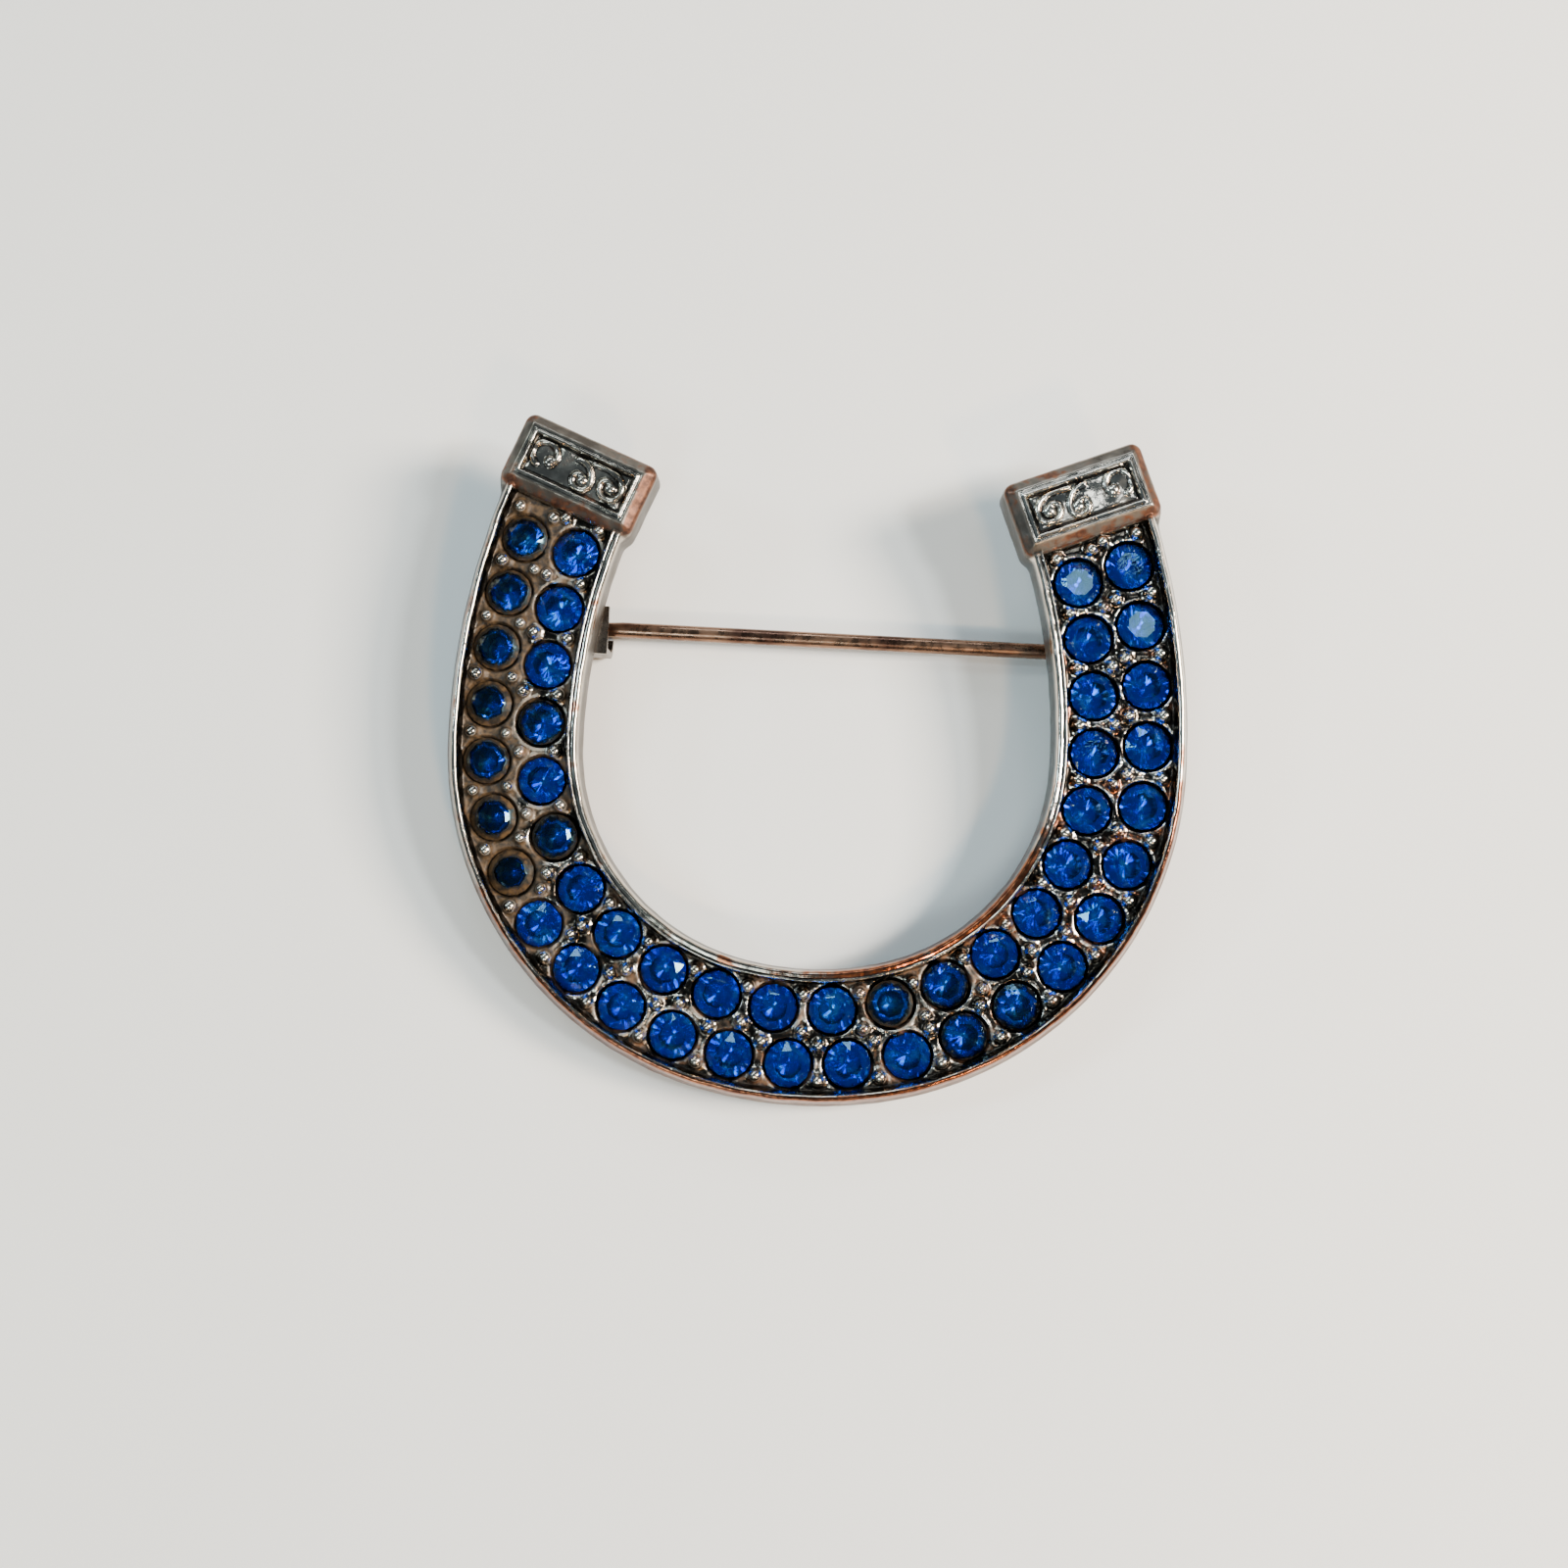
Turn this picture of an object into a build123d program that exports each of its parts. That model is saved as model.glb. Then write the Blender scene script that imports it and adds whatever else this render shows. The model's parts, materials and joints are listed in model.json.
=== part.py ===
from build123d import *
from math import asin, atan, cos, degrees, radians, sin, sqrt, tan
import os

# Horseshoe brooch with two rows of round stones, a hinged pin stem and a hook catch.
# Sizes are in millimetres and degrees.
# The brooch is drawn flat: its back lies in the plane z = 0, its face looks to +Z,
# the toe of the shoe points to -Y and its two open ends, the heels, to +Y.
# At the end it is tilted onto what it rests on: the hinge, the catch and the toe's back edge.

# Middle line of the band, from the toe to each heel: three arcs that run into each other
TOE_RADIUS = 19.8
TOE_HALF_TURN = 13.3
SHOULDER_RADIUS = 15.4
SHOULDER_TURN = 75.7
BRANCH_RADIUS = 37.4
BRANCH_LENGTH = 17.0

# Cross-section of the band, measured across from its middle line and up from its back
INNER_REACH = 3.45
OUTER_REACH = 3.85
BED_HEIGHT = 2.05
RIM_HEIGHT = 2.65
INNER_RIM_WIDTH = 0.55
OUTER_RIM_WIDTH = 0.32
RIM_SLOPE = 0.07
RIM_ROUNDING = 0.15
FLARE_WIDTH = 0.42
FLARE_HEIGHT = 1.3
FLARE_ROUNDING = 0.6

# Stones: round, with a table, 24 crown facets and 24 pavilion facets
STONE_RADIUS = 1.25
TABLE_RADIUS = 0.76
CROWN_HEIGHT = 0.38
GIRDLE_HEIGHT = 0.1
PAVILION_DEPTH = 0.92
CULET_RADIUS = 0.1
GIRDLE_SIDES = 16
TABLE_SIDES = 8
STONE_TILT = 2.4
STONE_SPIN = 137.5
STONE_SINK = 0.2
STONE_CLEARANCE = 0.1
SEAT_FLARE = 0.05

# Rows of stones: how far outside the middle line, wanted pitch, space between each heel and
# the middle of the first stone, and how far the middle stone sits to the right of halfway
ROWS = (
    {"name": "outer_stones", "offset": 1.6, "pitch": 3.2, "left": 2.2, "right": 2.05, "skew": -0.7},
    {"name": "inner_stones", "offset": -1.32, "pitch": 3.15, "left": 1.95, "right": 2.2, "skew": 0.15},
)

# Beads cast between the stones, two in each gap of a row, measured from the row's own line
RIM_BEAD_RADIUS = 0.37
RIM_BEAD_OFFSET = 0.82
MIDDLE_BEAD_RADIUS = 0.34
MIDDLE_BEAD_OFFSET = 1.1
BEAD_RAISE = 0.1

# Heels: a bevelled block over each open end, with a framed panel of scrolls
HEEL_LENGTH = 4.2
HEEL_INNER_REACH = 3.85
HEEL_OUTER_REACH = 4.05
HEEL_HEIGHT = 2.8
HEEL_CORNER = 0.55
BEVEL_HEIGHT = 0.4
BEVEL_WIDTH = 0.5
FRAME_MARGIN = 0.75
FRAME_WIDTH = 0.26
FRAME_RAISE = 0.17
FRAME_DRAFT = 20
PANEL_DEPTH = 0.12
SCROLL_WIRE = 0.13
SCROLL_SINK = 0.03
SCROLL_EYE = 0.2
SCROLL_END = 0.16

# Scrolls of the right heel's panel. Across and along are shares of the panel's half sizes,
# towards the outside and the open end. Heading is the first direction. Each arc has its
# radius, as a share of the panel's half length along, and its turn
OPEN_SCROLL = ((0.24, -90), (0.6, -250))
SMALL_SCROLL = ((0.26, -180), (0.47, -180), (0.95, -95))
LARGE_SCROLL = ((0.28, -180), (0.58, -180), (0.74, -65), (2.2, -38))
SCROLLS = (
    {"across": 0.56, "along": -0.08, "heading": 180, "arcs": OPEN_SCROLL},
    {"across": -0.14, "along": -0.28, "heading": 90, "arcs": SMALL_SCROLL},
    {"across": -0.68, "along": -0.05, "heading": 90, "arcs": LARGE_SCROLL},
)

# Pin stem: a straight wire behind the two branches, with an eye on the hinge's rivet and a neck
# beside the eye, as wide as the wire but higher
STEM_Y = 2.25
STEM_DROP = 1.9
STEM_RADIUS = 0.44
STEM_POINT_LENGTH = 5.6
STEM_POINT_RADIUS = 0.08
STEM_OVERRUN = 2.6
EYE_RADIUS = 0.8
NECK_LENGTH = 1.5
NECK_RADIUS = 0.65

# Hinge: a base with two ears soldered behind the right branch, and its rivet
RIVET_RADIUS = 0.33
RIVET_CLEARANCE = 0.05
RIVET_HEAD_RADIUS = 0.52
RIVET_HEAD_HEIGHT = 0.16
EAR_FIT = 0.02
EAR_THICKNESS = 0.5
EAR_CLEARANCE = 0.1
HINGE_BASE_THICKNESS = 0.45
HINGE_BASE_LENGTH = 2.6

# Catch: a strip of sheet soldered behind the left branch and curled into a hook
CATCH_THICKNESS = 0.36
CATCH_LENGTH = 2.4
CATCH_INSET = 0.4
CATCH_CURL_RADIUS = 0.62
CATCH_MOUTH_CLEARANCE = 0.12
CATCH_FOOT_LENGTH = 1.7


def outward(angle):
    """The direction away from the inside of the shoe, at an angle from straight down."""
    return Vector(sin(radians(angle)), -cos(radians(angle)))


def half_line_arcs():
    """Centre, radius, first angle and turn of each arc from the toe to the right heel."""
    wanted = (
        (TOE_RADIUS, TOE_HALF_TURN),
        (SHOULDER_RADIUS, SHOULDER_TURN),
        (BRANCH_RADIUS, degrees(BRANCH_LENGTH / BRANCH_RADIUS)),
    )
    arcs = []
    centre = Vector(0, 0)
    angle = 0.0
    last_radius = TOE_RADIUS
    for radius, turn in wanted:
        centre = centre + outward(angle) * (last_radius - radius)
        arcs.append((centre, radius, angle, turn))
        angle += turn
        last_radius = radius
    return arcs


ARCS = half_line_arcs()


def line_length(offset=0.0, short=0.0):
    """Length from the toe to a heel, of a line that runs offset outside the middle line.

    The line ends short of the open end, by a length measured on the middle line.
    """
    full = sum(radians(turn) * (radius + offset) for _, radius, _, turn in ARCS)
    return full - short * (BRANCH_RADIUS + offset) / BRANCH_RADIUS


def spot(distance, offset=0.0):
    """The place at a distance from the toe, along a line offset outside the middle line.

    Positive distances run to the right heel. Local X points outward and local Z up.
    """
    rest = abs(distance)
    for centre, radius, start, turn in ARCS:
        reach = radius + offset
        angle = start + degrees(rest / reach)
        if angle <= start + turn:
            break
        rest -= radians(turn) * reach
    point = centre + outward(angle) * reach
    if distance < 0:
        return Location((-point.X, point.Y, 0), (0, 0, -90 - angle))
    return Location((point.X, point.Y, 0), (0, 0, angle - 90))


def band():
    """The band with a sunken bed between two raised rims."""
    inner_top = INNER_REACH - INNER_RIM_WIDTH
    outer_top = OUTER_REACH - FLARE_WIDTH - OUTER_RIM_WIDTH
    section = (
        {"across": -INNER_REACH, "up": 0, "radius": 0},
        {"across": -INNER_REACH, "up": RIM_HEIGHT, "radius": RIM_ROUNDING},
        {"across": -inner_top, "up": RIM_HEIGHT, "radius": RIM_ROUNDING},
        {"across": -inner_top + RIM_SLOPE, "up": BED_HEIGHT, "radius": 0},
        {"across": outer_top - RIM_SLOPE, "up": BED_HEIGHT, "radius": 0},
        {"across": outer_top, "up": RIM_HEIGHT, "radius": RIM_ROUNDING},
        {"across": outer_top + OUTER_RIM_WIDTH, "up": RIM_HEIGHT, "radius": RIM_ROUNDING},
        {"across": OUTER_REACH, "up": FLARE_HEIGHT, "radius": FLARE_ROUNDING},
        {"across": OUTER_REACH, "up": 0, "radius": 0},
    )
    corners = [(row["across"], row["up"]) for row in section]
    radii = [row["radius"] for row in section]
    outline = make_face(FilletPolyline(*corners, radius=radii, close=True))
    half = Part()
    for centre, radius, start, turn in ARCS:
        out = outward(start)
        along = Vector(-out.Y, out.X)
        plane = Plane(origin=centre + out * radius, x_dir=out, z_dir=along * -1)
        half += revolve(plane * outline, Axis(centre, (0, 0, 1)), turn)
    return half + mirror(half, Plane.YZ)


def row_places(row):
    """Distances of one row's stones along the row's own line, from the toe."""
    line = line_length(row["offset"], HEEL_LENGTH)
    first = row["left"] - line
    last = line - row["right"]
    gaps = max(round((last - first) / row["pitch"]), 1)
    places = []
    for number in range(gaps + 1):
        share = 2 * number / gaps - 1
        even = (first + last + share * (last - first)) / 2
        places.append(even + row["skew"] * (1 - share**2))
    return places


def ring(radius, sides, height):
    """Corners of a regular polygon at a height."""
    turn = 360 / sides
    return [
        (radius * cos(radians(turn * k)), radius * sin(radians(turn * k)), height)
        for k in range(sides)
    ]


def stone():
    """One cut stone, with the middle of its girdle at the origin and its table up."""
    half_girdle = GIRDLE_HEIGHT / 2
    corners = ring(TABLE_RADIUS, TABLE_SIDES, half_girdle + CROWN_HEIGHT)
    corners += ring(STONE_RADIUS, GIRDLE_SIDES, half_girdle)
    corners += ring(STONE_RADIUS, GIRDLE_SIDES, -half_girdle)
    corners += ring(CULET_RADIUS, TABLE_SIDES, -half_girdle - PAVILION_DEPTH)
    return ConvexPolyhedron(corners)


GIRDLE_UP = BED_HEIGHT - STONE_SINK


def stone_row(row):
    """All stones of one row, each turned and tipped a little in its seat."""
    cut = stone()
    stones = []
    for number, distance in enumerate(row_places(row)):
        lean = STONE_SPIN * number
        tip = (STONE_TILT * sin(radians(lean)), STONE_TILT * cos(radians(lean)), lean)
        stones.append(spot(distance, row["offset"]) * Location((0, 0, GIRDLE_UP), tip) * cut)
    return Compound(stones)


def seat():
    """The cutter for one seat: a cone round the pavilion that opens out round the girdle."""
    half_girdle = GIRDLE_HEIGHT / 2
    slope = PAVILION_DEPTH / (STONE_RADIUS - CULET_RADIUS)
    girdle_reach = STONE_RADIUS + STONE_CLEARANCE
    floor_reach = CULET_RADIUS + STONE_CLEARANCE
    girdle_foot = GIRDLE_UP - half_girdle - STONE_CLEARANCE
    floor = girdle_foot - slope * (girdle_reach - floor_reach)
    top_reach = girdle_reach + SEAT_FLARE
    corners = (
        (0, floor),
        (floor_reach, floor),
        (girdle_reach, girdle_foot),
        (top_reach, BED_HEIGHT),
        (top_reach, RIM_HEIGHT),
        (0, RIM_HEIGHT),
    )
    outline = make_face(Polyline(*corners, close=True))
    return revolve(Plane.XZ * outline, Axis.Z)


def bead_places(row):
    """Places and radii of the beads in one row's gaps and beyond its two end stones."""
    stones = row_places(row)
    before = [2 * stones[0] - stones[1], *stones]
    after = [*stones, 2 * stones[-1] - stones[-2]]
    rim_side = RIM_BEAD_OFFSET if row["offset"] > 0 else -RIM_BEAD_OFFSET
    middle_side = -MIDDLE_BEAD_OFFSET if row["offset"] > 0 else MIDDLE_BEAD_OFFSET
    beads = []
    for near, far in zip(before, after):
        place = spot((near + far) / 2, row["offset"])
        beads.append((place * Pos(rim_side, 0, 0), RIM_BEAD_RADIUS))
        beads.append((place * Pos(middle_side, 0, 0), MIDDLE_BEAD_RADIUS))
    return beads


def scroll(row, half_across, half_along):
    """One scroll of half-round wire on the panel, with an eye at its first end."""
    up = HEEL_HEIGHT - PANEL_DEPTH + SCROLL_SINK
    point = Vector(row["across"] * half_across, row["along"] * half_along, up)
    heading = row["heading"]
    parts = Pos(point) * Sphere(SCROLL_EYE)
    for share, turn in row["arcs"]:
        radius = share * half_along
        side = 1 if turn > 0 else -1
        along = Vector(cos(radians(heading)), sin(radians(heading)))
        centre = point + Vector(-along.Y, along.X) * side * radius
        wire = Plane(origin=point, x_dir=(0, 0, 1), z_dir=along) * Circle(SCROLL_WIRE)
        axis = Axis(centre, (0, 0, side))
        parts += revolve(wire, axis, abs(turn))
        point = centre + (point - centre).rotate(Axis.Z, turn)
        heading += turn
    return parts + Pos(point) * Sphere(SCROLL_END)


def heel():
    """The bevelled block over the right open end, with its frame and scrolls."""
    across = HEEL_INNER_REACH + HEEL_OUTER_REACH
    shoulder = HEEL_HEIGHT - BEVEL_HEIGHT
    foot = extrude(RectangleRounded(across, HEEL_LENGTH, HEEL_CORNER), shoulder)
    bevel_angle = degrees(atan(BEVEL_WIDTH / BEVEL_HEIGHT))
    top = RectangleRounded(across, HEEL_LENGTH, HEEL_CORNER)
    block = foot + extrude(Pos(0, 0, shoulder) * top, BEVEL_HEIGHT, taper=bevel_angle)
    frame_across = across - 2 * FRAME_MARGIN
    frame_along = HEEL_LENGTH - 2 * FRAME_MARGIN
    frame = Pos(0, 0, HEEL_HEIGHT) * RectangleRounded(frame_across, frame_along, FRAME_WIDTH)
    block += extrude(frame, FRAME_RAISE, taper=FRAME_DRAFT)
    panel_across = frame_across - 2 * FRAME_WIDTH
    panel_along = frame_along - 2 * FRAME_WIDTH
    panel = Pos(0, 0, HEEL_HEIGHT - PANEL_DEPTH) * Rectangle(panel_across, panel_along)
    block -= extrude(panel, PANEL_DEPTH + FRAME_RAISE, taper=-FRAME_DRAFT / 2)
    for row in SCROLLS:
        block += scroll(row, panel_across / 2, panel_along / 2)
    middle = line_length() - HEEL_LENGTH / 2
    centre = (HEEL_OUTER_REACH - HEEL_INNER_REACH) / 2
    return spot(middle) * Pos(centre, 0, 0) * block


def setting():
    """The cast body: band, heels, beads and the seats of all stones."""
    right_heel = heel()
    body = band() + [right_heel, mirror(right_heel, Plane.YZ)]
    beads = []
    seats = []
    cutter = seat()
    for row in ROWS:
        for place, radius in bead_places(row):
            beads.append(place * Pos(0, 0, BED_HEIGHT + BEAD_RAISE) * Sphere(radius))
        seats += [spot(distance, row["offset"]) * cutter for distance in row_places(row)]
    return body + beads - seats


def branch_x(y, offset=0.0):
    """How far right the branch's line lies at a height y, offset outside the middle line."""
    centre, radius, _, _ = ARCS[-1]
    reach = radius + offset
    return centre.X + sqrt(reach**2 - (y - centre.Y) ** 2)


HINGE_X = branch_x(STEM_Y)
CATCH_RIGHT = CATCH_INSET - branch_x(STEM_Y, -INNER_REACH)
CATCH_MIDDLE = CATCH_RIGHT - CATCH_LENGTH / 2
STEM_TIP = CATCH_RIGHT - CATCH_LENGTH - STEM_OVERRUN
POINT_START = STEM_TIP + STEM_POINT_LENGTH
TOE_EDGE = TOE_RADIUS + OUTER_REACH
EAR_GAP = STEM_RADIUS + EAR_CLEARANCE
EAR_OUTSIDE = EAR_GAP + EAR_THICKNESS


def stem_radius_at(x):
    """Radius of the pin stem at a place along it."""
    share = min(max((x - STEM_TIP) / STEM_POINT_LENGTH, 0), 1)
    return STEM_POINT_RADIUS + share * (STEM_RADIUS - STEM_POINT_RADIUS)


HOOK_REACH = CATCH_CURL_RADIUS + CATCH_THICKNESS
HOOK_Y = STEM_Y - stem_radius_at(CATCH_RIGHT) - CATCH_MOUTH_CLEARANCE - CATCH_THICKNESS / 2


def rest_tilt():
    """The angle at which the toe's back edge and the catch's curl stand on one flat floor."""
    run = HOOK_Y + TOE_EDGE
    return degrees(atan(STEM_DROP / run) + asin(HOOK_REACH / sqrt(run**2 + STEM_DROP**2)))


def floor_drop(y):
    """How far the floor lies below the brooch's back at a height y of the flat drawing."""
    return (y + TOE_EDGE) * tan(radians(rest_tilt()))


def pin_stem():
    """The wire with its eye, a neck that thickens towards the eye, and its tapered point."""
    across = (90, 0, 0)
    lengthwise = (0, -90, 0)
    eye = Rot(*across) * Cylinder(EYE_RADIUS, 2 * STEM_RADIUS)
    neck = Pos(-NECK_LENGTH / 2, 0, 0) * Rot(*lengthwise) * Cone(NECK_RADIUS, STEM_RADIUS, NECK_LENGTH)
    neck &= Box(2 * NECK_LENGTH, 2 * STEM_RADIUS, 2 * EYE_RADIUS)
    straight = HINGE_X - POINT_START
    wire = Pos(-straight / 2, 0, 0) * Rot(*lengthwise) * Cylinder(STEM_RADIUS, straight)
    taper = Cone(STEM_RADIUS, STEM_POINT_RADIUS, STEM_POINT_LENGTH)
    point = Pos(-straight - STEM_POINT_LENGTH / 2, 0, 0) * Rot(*lengthwise) * taper
    tip = Pos(-straight - STEM_POINT_LENGTH, 0, 0) * Sphere(STEM_POINT_RADIUS)
    hole = Rot(*across) * Cylinder(RIVET_RADIUS + RIVET_CLEARANCE, 4 * STEM_RADIUS)
    return Pos(HINGE_X, STEM_Y, -STEM_DROP) * (eye + neck + wire + point + tip - hole)


def hinge_bracket():
    """The soldered base with two ears that stand round the stem's eye."""
    ear_reach = floor_drop(STEM_Y - EAR_OUTSIDE) - STEM_DROP
    base = Box(HINGE_BASE_LENGTH, 2 * EAR_OUTSIDE, HINGE_BASE_THICKNESS)
    bracket = Pos(HINGE_X, STEM_Y, -HINGE_BASE_THICKNESS / 2) * base
    ear = Rot(90, 0, 0) * Cylinder(ear_reach, EAR_THICKNESS)
    ear += Pos(0, 0, STEM_DROP / 2) * Box(2 * ear_reach, EAR_THICKNESS, STEM_DROP)
    for side in (-1, 1):
        middle = STEM_Y + side * (EAR_GAP + EAR_THICKNESS / 2)
        bracket += Pos(HINGE_X, middle, -STEM_DROP) * ear
    hole = Rot(90, 0, 0) * Cylinder(RIVET_RADIUS + EAR_FIT, 4 * EAR_OUTSIDE)
    return bracket - Pos(HINGE_X, STEM_Y, -STEM_DROP) * hole


def hinge_rivet():
    """The headed rivet through both ears and the stem's eye."""
    head_at = EAR_OUTSIDE + EAR_FIT
    rivet = Rot(90, 0, 0) * Cylinder(RIVET_RADIUS, 2 * head_at)
    head = Cone(RIVET_HEAD_RADIUS, RIVET_RADIUS, RIVET_HEAD_HEIGHT)
    for side in (-1, 1):
        place = Pos(0, side * (head_at + RIVET_HEAD_HEIGHT / 2), 0) * Rot(-90 * side, 0, 0)
        rivet += place * head
    return Pos(HINGE_X, STEM_Y, -STEM_DROP) * rivet


def catch():
    """The strip: a foot on the branch's back, a leg beside the stem and a curled lip."""
    leg_outside = HOOK_Y - HOOK_REACH
    foot_end = leg_outside + HOOK_REACH + CATCH_FOOT_LENGTH
    foot = Pos((leg_outside + foot_end) / 2, -CATCH_THICKNESS / 2)
    leg = Pos(leg_outside + CATCH_THICKNESS / 2, -STEM_DROP / 2)
    middle_radius = CATCH_CURL_RADIUS + CATCH_THICKNESS / 2
    curl = Circle(HOOK_REACH) - Circle(CATCH_CURL_RADIUS)
    curl &= Pos(-HOOK_REACH / 2, -HOOK_REACH / 2) * Rectangle(HOOK_REACH, HOOK_REACH)
    outline = foot * Rectangle(foot_end - leg_outside, CATCH_THICKNESS)
    outline += leg * Rectangle(CATCH_THICKNESS, STEM_DROP)
    outline += Pos(HOOK_Y, -STEM_DROP) * curl
    outline += Pos(HOOK_Y, -STEM_DROP - middle_radius) * Circle(CATCH_THICKNESS / 2)
    plane = Plane(origin=(CATCH_MIDDLE, 0, 0), x_dir=(0, 1, 0), z_dir=(1, 0, 0))
    return extrude(plane * outline, CATCH_LENGTH / 2, both=True)


def resting_place(body):
    """The tilt and move that set the brooch on its three rests, centred over the origin."""
    tilt = Rot(rest_tilt(), 0, 0)
    box = (tilt * body).bounding_box()
    middle = box.center()
    return Pos(-middle.X, -middle.Y, -box.min.Z) * tilt


SETTING = setting()
PLACE = resting_place(SETTING)
NODES = {
    "horseshoe_setting": SETTING,
    "outer_stones": stone_row(ROWS[0]),
    "inner_stones": stone_row(ROWS[1]),
    "pin_stem": pin_stem(),
    "hinge_bracket": hinge_bracket(),
    "hinge_rivet": hinge_rivet(),
    "catch": catch(),
}

os.makedirs("parts", exist_ok=True)
for name, shape in NODES.items():
    export_step(PLACE * shape, f"parts/{name}.step")
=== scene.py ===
import json
from math import atan2, cos, pi, radians, sin

import bpy
import numpy as np
from mathutils import Matrix, Vector, noise
from mathutils.geometry import delaunay_2d_cdt


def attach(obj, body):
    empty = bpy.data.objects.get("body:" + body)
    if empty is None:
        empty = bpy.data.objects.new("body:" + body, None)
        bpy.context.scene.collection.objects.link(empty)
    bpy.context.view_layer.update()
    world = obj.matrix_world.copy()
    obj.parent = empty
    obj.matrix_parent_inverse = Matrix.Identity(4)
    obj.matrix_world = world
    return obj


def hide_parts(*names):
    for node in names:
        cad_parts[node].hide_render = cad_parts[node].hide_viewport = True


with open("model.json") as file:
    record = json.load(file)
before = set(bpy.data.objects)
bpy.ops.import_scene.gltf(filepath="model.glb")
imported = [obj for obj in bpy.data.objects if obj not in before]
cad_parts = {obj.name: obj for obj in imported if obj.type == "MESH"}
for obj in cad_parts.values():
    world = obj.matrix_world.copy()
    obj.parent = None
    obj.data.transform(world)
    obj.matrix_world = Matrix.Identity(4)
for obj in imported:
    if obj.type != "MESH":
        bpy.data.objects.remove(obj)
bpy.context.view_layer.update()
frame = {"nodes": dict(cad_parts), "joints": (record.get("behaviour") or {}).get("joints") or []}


def rows(columns, *values):
    """A table's rows, each with named columns."""
    return [dict(zip(columns.split(), row)) for row in values]


def named(columns, **values):
    """A table's rows by their names, each with named columns."""
    return {name: dict(zip(columns.split(), row)) for name, row in values.items()}


# The brooch is drawn flat, in millimetres, as it is in its solids: its back lies in z = 0, its
# face looks to +Z, the toe points to -Y and the heels to +Y. lay() then sets it on its three rests.
MM = 0.001

# Middle line of the band, from the toe to each heel
TOE_RADIUS = 19.8
TOE_HALF_TURN = 13.3
SHOULDER_RADIUS = 15.4
SHOULDER_TURN = 75.7
BRANCH_RADIUS = 37.4
BRANCH_LENGTH = 17.0

# Cross-section of the band
INNER_REACH = 3.45
OUTER_REACH = 3.85
BED_HEIGHT = 2.05

# Heels
HEEL_LENGTH = 4.2
HEEL_INNER_REACH = 3.85
HEEL_OUTER_REACH = 4.05
HEEL_CORNER = 0.55
FRAME_MARGIN = 0.75
FRAME_WIDTH = 0.26
PANEL_START = 1.12

# Stones
STONE_RADIUS = 1.25
TABLE_RADIUS = 0.76
CROWN_HEIGHT = 0.38
GIRDLE_HEIGHT = 0.1
PAVILION_DEPTH = 0.92
CULET_RADIUS = 0.1
GIRDLE_SIDES = 16
TABLE_SIDES = 8
STONE_TILT = 2.4
STONE_SPIN = 137.5
GIRDLE_UP = 1.85

ROWS = rows(
    "name offset pitch left right skew",
    ("outer_stones", 1.6, 3.2, 2.2, 2.05, -0.7),
    ("inner_stones", -1.32, 3.15, 1.95, 2.2, 0.15),
)

# Seats: where a stone's collar begins, how soon it has its full height, how near to the middle a
# bead may reach, and how far out the seat changes the bed
COLLAR_START = 1.39
COLLAR_BLEND = 0.05
BEAD_LIMIT = 1.34
SEAT_REACH = 1.7

# Beads, cast a little unevenly: their reach is a share of their radius
RIM_BEAD_RADIUS = 0.37
RIM_BEAD_OFFSET = 0.82
MIDDLE_BEAD_RADIUS = 0.34
MIDDLE_BEAD_OFFSET = 1.1
BEAD_SEED = 11
BEAD_SHIFT = 0.05
BEAD_SMALLEST = 0.88
BEAD_LARGEST = 1.06
BEAD_REACH = 1.5
BEAD_SINK = 0.01

# The joint's rivet, in the flat drawing
HINGE_PLACE = (15.90678, 2.25, -1.9)


def outward(angle):
    """The direction away from the inside of the shoe, at an angle from straight down."""
    return np.array((sin(angle), -cos(angle)))


def arcs():
    """Centre, radius, first angle, turn and first distance of each arc, from the toe to a heel."""
    wanted = (
        (TOE_RADIUS, radians(TOE_HALF_TURN)),
        (SHOULDER_RADIUS, radians(SHOULDER_TURN)),
        (BRANCH_RADIUS, BRANCH_LENGTH / BRANCH_RADIUS),
    )
    made = []
    centre = np.zeros(2)
    angle = 0.0
    begin = 0.0
    last_radius = TOE_RADIUS
    for radius, turn in wanted:
        centre = centre + outward(angle) * (last_radius - radius)
        made.append((centre, radius, angle, turn, begin))
        angle += turn
        begin += radius * turn
        last_radius = radius
    return made


ARCS = arcs()
LENGTH = sum(radius * turn for _, radius, _, turn, _ in ARCS)


def band_to_flat(s, o):
    """Flat places at distances s along the middle line, and o outside it."""
    s, o = np.broadcast_arrays(s, o)
    rest = np.abs(s)
    places = np.zeros((*s.shape, 2))
    for centre, radius, start, turn, begin in ARCS:
        here = rest >= begin
        angle = start + (rest[here] - begin) / radius
        reach = radius + o[here]
        places[here, 0] = centre[0] + np.sin(angle) * reach
        places[here, 1] = centre[1] - np.cos(angle) * reach
    places[..., 0] *= np.where(s < 0, -1, 1)
    return places


def flat_to_band(xy):
    """The distances s and o of flat places."""
    x = np.abs(xy[:, 0])
    y = xy[:, 1]
    s = np.zeros(len(xy))
    o = np.zeros(len(xy))
    left = np.ones(len(xy), bool)
    for centre, radius, start, turn, begin in ARCS:
        dx = x - centre[0]
        dy = y - centre[1]
        angle = np.arctan2(dx, -dy)
        here = left & (angle <= start + turn) if radius != BRANCH_RADIUS else left
        s[here] = begin + (angle[here] - start) * radius
        o[here] = np.hypot(dx[here], dy[here]) - radius
        left = left & ~here
    return s * np.where(xy[:, 0] < 0, -1, 1), o


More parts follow.
